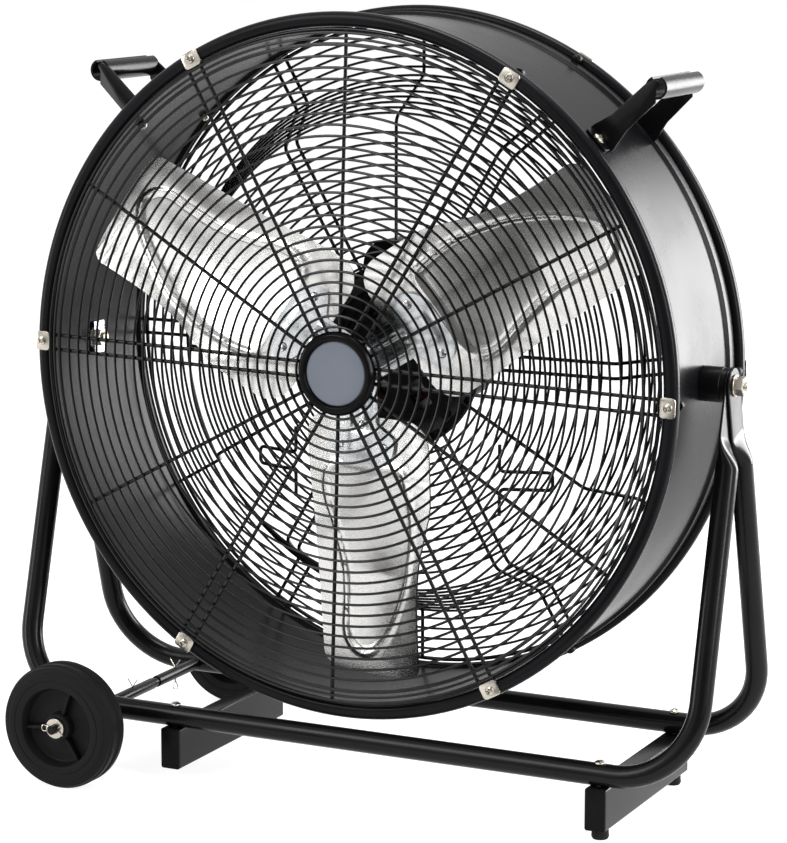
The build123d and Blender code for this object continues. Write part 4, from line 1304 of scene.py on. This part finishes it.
def bladeEdges(radius):
    rootEase = cornerEase(radius - blade["root"], blade["rootCorner"])
    ease = max(rootEase, cornerEase(blade["tip"] - radius, blade["tipCorner"]))
    lower = curveThrough(blade["lowerEdge"], radius) + ease
    return lower, curveThrough(blade["upperEdge"], radius) - ease


# Grid of points, shaped by point(rowShare, columnShare, lift) and given its thickness.
def pressedSheet(rows, columns, point, thickness, lift):
    bm = bmesh.new()
    bmesh.ops.create_grid(bm, x_segments=rows, y_segments=columns, size=0.5)
    for vert in bm.verts:
        vert.co = point(vert.co.x + 0.5, vert.co.y + 0.5, lift)
    bmesh.ops.recalc_face_normals(bm, faces=bm.faces)
    bm.normal_update()
    if sum((face.normal for face in bm.faces), Vector()).y > 0:
        bmesh.ops.reverse_faces(bm, faces=bm.faces)
    bmesh.ops.solidify(bm, geom=bm.faces[:], thickness=thickness)
    return bm


def bladeTurns():
    return [around(blade["firstAngle"] + 120 * number) for number in range(3)]


def bladeSpot(rowShare, columnShare, lift):
    share = rowShare - math.sin(4 * math.pi * rowShare) / (4 * math.pi) * blade["bunching"]
    nominal = mix(blade["root"], blade["tip"], share)
    low, high = bladeEdges(nominal)
    across = mix(low, high, columnShare)
    level = across * math.cos(math.radians(bladePitch(nominal)[0]))
    reach = math.sqrt(blade["tip"] ** 2 - level ** 2)
    radius = blade["root"] + share * (reach - blade["root"])
    pitch, camber = bladePitch(radius)
    upper = curveThrough(blade["upperEdge"], radius)
    lower = curveThrough(blade["lowerEdge"], radius)
    middle = (upper + lower) / 2
    depth = camber * (1 - ((across - middle) * 2 / (upper - lower)) ** 2)
    return pitchedPoint(radius, across, panelLift(radius, across) + lift - depth, pitch)


def makeBlades():
    sheet = pressedSheet(*blade["grid"], bladeSpot, blade["sheet"], blade["sheet"] / 2)
    for number, turn in enumerate(bladeTurns(), 1):
        finishPiece(f"fanBlade{number}", sheet.copy(), bladeMetal, "rotor", 50, atPivot @ turn,
                    [f"fan_blade_{number}"])
    sheet.free()


spider = {
    "grid": (48, 24),
    "armStart": 12.0,
    "neck": 36.0,
    "padWidth": 80.0,
    "padStart": 52.0,
    "padFlare": 17.0,
    "padEnd": 95.0,
    "padCorner": 24.0,
    "sheet": 3.0,
    "bore": 6.05,
    "bossRadius": 20.0,
    "bossLength": 38.0,
    "ribHeight": 2.2,
    "ribAcross": 9.0,
    "ribWidth": 3.0,
    "ribEnd": 62.0,
    "fade": 14.0,  # of the ribs' ends, and of the bow's start
    "bowHeight": 0.8,
    "bowHalfWidth": 12.0,
    "bowEnd": 89.0,
    "bowEdge": 8.0,
}


def padHalfWidth(radius):
    wide = spider["padWidth"] / 2
    half = mix(spider["neck"] / 2, wide, smooth((radius - spider["padStart"]) / spider["padFlare"]))
    return half - cornerEase(spider["padEnd"] - radius, spider["padCorner"])


# Arm of the spider: two ribs near the hub, and a slight bow under the blade.
def spiderSpot(rowShare, columnShare, lift):
    radius = mix(spider["armStart"], spider["padEnd"], rowShare)
    half = max(padHalfWidth(radius), 0.5)
    across = mix(-half, half, columnShare)
    aside = abs(across)
    ribs = math.exp(-((aside - spider["ribAcross"]) / spider["ribWidth"]) ** 2)
    ribs *= smooth((spider["ribEnd"] - radius) / spider["fade"])
    bow = smooth((radius - spider["padStart"]) / spider["fade"])
    bow *= smooth((spider["bowEnd"] - radius) / spider["bowEdge"]) * spider["bowHeight"]
    bow *= 1 - smooth((aside - spider["bowHalfWidth"]) / spider["bowEdge"])
    out = blade["sheet"] / 2 + lift + spider["ribHeight"] * ribs + bow
    return pitchedPoint(radius, across, out, blade["rootPitch"])


def makeSpider():
    bm = bmesh.new()
    arm = pressedSheet(*spider["grid"], spiderSpot, spider["sheet"], spider["sheet"])
    copies(bm, arm, bladeTurns())
    bore = spider["bore"]
    radius = spider["bossRadius"]
    low = blade["fanY"] - spider["bossLength"] / 2
    high = blade["fanY"] + spider["bossLength"] / 2
    corners = [(bore, low, 0.5), (radius, low, 2.0), (radius, high, 2.0), (bore, high, 0.5)]
    lathe(bm, roundedLoop(corners), 64)
    finishPiece("fanSpider", bm, zincSteel, "rotor", 45, atPivot)


rivet = {"radius": 4.6, "height": 2.2, "sunk": 0.4, "outer": 76.0, "inner": 56.0, "across": 28.0}


def makeRivets():
    bm = bmesh.new()
    angle = math.radians(blade["rootPitch"])
    normal = Vector((0, -math.cos(angle), -math.sin(angle)))
    chord = Vector((0, -math.sin(angle), math.cos(angle)))
    radius = rivet["radius"]
    dome = [(axisHole, rivet["sunk"]), (radius, rivet["sunk"])]
    for bow in (math.pi / 2 * step / 8 for step in range(9)):
        dome.append((max(radius * math.cos(bow), axisHole), -rivet["height"] * math.sin(bow)))
    spots = [(rivet["outer"], side * rivet["across"]) for side in (1, -1)] + [(rivet["inner"], 0.0)]
    half = blade["sheet"] / 2
    faces = ((normal, half + spider["sheet"]), (-normal, half))
    for turn in bladeTurns():
        for out, across in spots:
            spot = Vector((out, blade["fanY"], 0)) + chord * across
            for direction, height in faces:
                look = (-direction).to_track_quat("Y", "Z").to_matrix().to_4x4()
                lathe(bm, dome, 24, turn @ Matrix.Translation(spot + direction * height) @ look)
    finishPiece("bladeRivets", bm, bladeMetal, "rotor", place=atPivot)


winding = {"coils": 12, "radius": 46.0, "halfSwing": 20, "rise": 7.0, "wire": 4.2, "steps": 16}


# Arched ends of the coils, at both faces of the stator.
def makeWindings():
    low, high = boxOf("motor_stator")
    radius = winding["radius"]
    bm = bmesh.new()
    for y, side in ((low[1], -1), (high[1], 1)):
        path = []
        for step in range(winding["steps"] + 1):
            share = step / winding["steps"]
            swing = math.radians(mix(-winding["halfSwing"], winding["halfSwing"], share))
            rise = side * winding["rise"] * math.sin(math.pi * share)
            path.append((radius * math.cos(swing), y + rise, radius * math.sin(swing)))
        for index in range(winding["coils"]):
            wire(bm, path, winding["wire"], around(index * 360 / winding["coils"]), 8)
    finishPiece("windings", bm, copperInPaintedShade, "drum", 60, atPivot, [])


controls = {"corner": 26.0, "flutes": 18, "pointer": 2.0, "knobGap": 0.4}


def makeControlBox():
    low, high = boxOf("control_box")
    width = high[0] - low[0]
    height = high[2] - low[2]
    middle = (low[2] + high[2]) / 2
    deep = high[1] - low[1]
    bm = bmesh.new()
    rings = []
    steps = ((0, 0.4), (0.6, 0), (deep - 6, 0), (deep - 2.5, 0.9), (deep - 0.7, 2.6), (deep, 5.0))
    for depth, inset in steps:
        corner = controls["corner"] - inset
        outline = roundedRectangle(width - 2 * inset, height - 2 * inset, corner, 10)
        rings.append([(x, low[1] + depth, middle + z) for x, z in outline])
    skin(bm, rings)
    finishPiece("controlBox", bm, motorPaint, "drum", 35)


def makeKnob():
    start = boxOf("control_box")[1][1] + controls["knobGap"]
    low, high = boxOf("speed_knob")
    centreZ = (low[2] + high[2]) / 2
    radius = (high[0] - low[0]) / 2
    tip = high[1]
    bm = bmesh.new()
    rings = []
    stations = (
        (start, 1.0, 0.0), (start + 2.5, 1.0, 0.0), (start + 4.0, 0.93, 0.0),
        (start + 4.4, 0.72, 0.06), (tip - 1.5, 0.66, 0.06), (tip, 0.58, 0.03),
    )
    for y, scale, flute in stations:
        ring = []
        for angle in (2 * math.pi * index / 96 for index in range(96)):
            ripple = 1 - flute * (0.5 + 0.5 * math.cos(controls["flutes"] * angle))
            wide = radius * scale * ripple
            ring.append((wide * math.cos(angle), y, centreZ + wide * math.sin(angle)))
        rings.append(ring)
    skin(bm, rings)
    pointer = roundedRectangle(controls["pointer"], radius * 0.5, 0.8)
    plate(bm, pointer, 0.5, moved(0, tip - 0.1, centreZ + radius * 0.3) @ turnedAbout("X", -90))
    finishPiece("speedKnob", bm, blackPlastic, "knob")


def paint(material, *nodes):
    for node in nodes:
        obj = frame["nodes"][node]
        if not obj.material_slots:
            obj.data.materials.append(material)
        for slot in obj.material_slots:
            slot.material = material


makeDrumShell()
makeFrontGrille()
makeRearGrille()
makeCordHooks()
makeBadge()
makeClips()
makeHandle("rightHandle", 1)
makeHandle("leftHandle", -1)
makeHandleFasteners()
makePivots()
print("drum made")
makeStandFrame("frontStandFrame", -1)
makeStandFrame("rearStandFrame", 1)
makeCrossMembers()
makeFeet()
makeFrameScrews()
makeWheel("frontWheel", -1)
makeWheel("rearWheel", 1)
makeAxle()
print("stand made")
makeBlades()
makeSpider()
makeRivets()
print("fan made")
makeWindings()
makeControlBox()
makeKnob()
paint(motorPaint, "motor_front_bell", "motor_rear_bell")
paint(motorPaint, "motor_mounting_plate", "motor_plate_screws")
paint(nickelPlate, "pivot_inner_washers", "fan_set_screw")
paint(zincSteel, "pivot_straps")
paint(groundSteel, "motor_shaft", "front_bearing", "rear_bearing")
paint(laminatedSteel, "motor_stator", "motor_rotor_core")
paint(blackPlastic, "cable_gland")
print("motor made")


camera = {
    "focalPixels": 2966.6,
    "frameHeight": 843.0,
    "azimuth": 25.98,
    "elevation": 10.2,
    "roll": 0.05,
    "distance": 2816.3,
    "right": 8.9,
    "up": -59.8,
}


def makeCamera():
    azimuth = math.radians(camera["azimuth"])
    elevation = math.radians(camera["elevation"])
    level = math.cos(elevation)
    back = Vector((math.sin(azimuth) * level, -math.cos(azimuth) * level, math.sin(elevation)))
    right = Vector((math.cos(azimuth), math.sin(azimuth), 0))
    up = back.cross(right)
    place = back * camera["distance"] + right * camera["right"] + up * camera["up"]
    place += Vector((0, 0, pivotHeight))
    data = bpy.data.cameras.new("camera")
    data.lens = data.sensor_width * camera["focalPixels"] / camera["frameHeight"]
    data.clip_end = 100
    obj = bpy.data.objects.new("camera", data)
    turn = Matrix((right, up, back)).transposed().to_4x4()
    roll = Matrix.Rotation(math.radians(camera["roll"]), 4, "Z")
    obj.matrix_world = Matrix.Translation(place * 0.001) @ turn @ roll
    bpy.context.scene.collection.objects.link(obj)
    bpy.context.scene.camera = obj


# Place and size in metres, and power. Each lamp faces the middle of the pivots.
lamps = {
    "keyLamp": ((-1.6, -2.6, 2.6), (1.6, 1.6), 60),
    "sideLamp": ((3.0, -0.6, 1.4), (0.5, 2.2), 62),
    "topLamp": ((0.2, 0.4, 3.2), (1.6, 0.9), 60),
    "leftLamp": ((-2.7, -1.75, 0.35), (0.9, 0.9), 17),
    "frontLamp": ((-0.9, -2.8, 1.35), (2.0, 1.5), 9),
    "backLamp": ((1.65, 2.2, 0.75), (1.2, 2.3), 145),
}


def makeLamp(name, place, size, power):
    data = bpy.data.lights.new(name, "AREA")
    data.shape = "RECTANGLE"
    data.size, data.size_y = size
    data.energy = power
    obj = bpy.data.objects.new(name, data)
    place = Vector(place)
    back = place - Vector((0, 0, pivotHeight * 0.001))
    obj.matrix_world = Matrix.Translation(place) @ back.to_track_quat("Z", "Y").to_matrix().to_4x4()
    bpy.context.scene.collection.objects.link(obj)


# Place, size, turn about X and glow. These cards only show in reflections, as grey flags do.
flags = {
    "frontFlag": ((0, -4.5, 1.6), (9, 6), 90, 0.2),
    "lowFlag": ((1.5, -2.4, 0.03), (2.96, 4.2), 0, 0.16),
}


def stageSheet(name, place, finish):
    bm = bmesh.new()
    bmesh.ops.create_grid(bm, x_segments=1, y_segments=1, size=0.5)
    bmesh.ops.transform(bm, matrix=place, verts=bm.verts)
    mesh = bpy.data.meshes.new(name)
    bm.to_mesh(mesh)
    bm.free()
    mesh.materials.append(finish.material)
    obj = bpy.data.objects.new(name, mesh)
    bpy.context.scene.collection.objects.link(obj)
    return obj


def makeFlag(name, middle, size, turn, strength):
    finish = Finish(
        name, Base_Color=(0.0, 0.0, 0.0), Specular_IOR_Level=0.0,
        Emission_Color=(1.0, 1.0, 1.0), Emission_Strength=strength,
    )
    place = Matrix.Translation(middle) @ turnedAbout("X", turn) @ Matrix.Diagonal((*size, 1, 1))
    obj = stageSheet(name, place, finish)
    for ray in ("camera", "diffuse", "transmission", "shadow"):
        setattr(obj, f"visible_{ray}", False)


studio = {
    "skyLight": 0.45,
    "floorGrey": 0.9,
    "floorGlow": 1.45,
    "glowShare": 0.6,
    "floorSize": 28.0,
}


# White where it is seen or mirrored, and dimmer as a light on the object.
def makeWorld():
    world = bpy.data.worlds.new("studio")
    bpy.context.scene.world = world
    world.use_nodes = True
    tree = ShaderTree(world.node_tree)
    background = world.node_tree.nodes["Background"]
    tree.feed(background.inputs["Color"], (1.0, 1.0, 1.0))
    dim = studio["skyLight"]
    tree.feed(background.inputs["Strength"], tree.seenOrMirrored() * (1 - dim) + dim)


def makeFloor():
    finish = Finish("floorWhite", Base_Color=(studio["floorGrey"],) * 3, Roughness=0.9)
    white = {"Color": (1.0, 1.0, 1.0), "Strength": studio["floorGlow"]}
    glow = finish.node("ShaderNodeEmission", {}, white)
    share = finish.seenOrMirrored() * studio["glowShare"]
    lit = Signal(finish, finish.shader.outputs[0])
    blend = finish.node("ShaderNodeMixShader", {}, {0: share, 1: lit, 2: glow})
    finish.feed(finish.tree.nodes["Material Output"].inputs["Surface"], blend)
    stageSheet("floor", Matrix.Scale(studio["floorSize"], 4), finish)


makeCamera()
for name, values in lamps.items():
    makeLamp(name, *values)
for name, values in flags.items():
    makeFlag(name, *values)
makeWorld()
makeFloor()
bpy.context.scene.view_settings.view_transform = "Standard"

print("scene made")
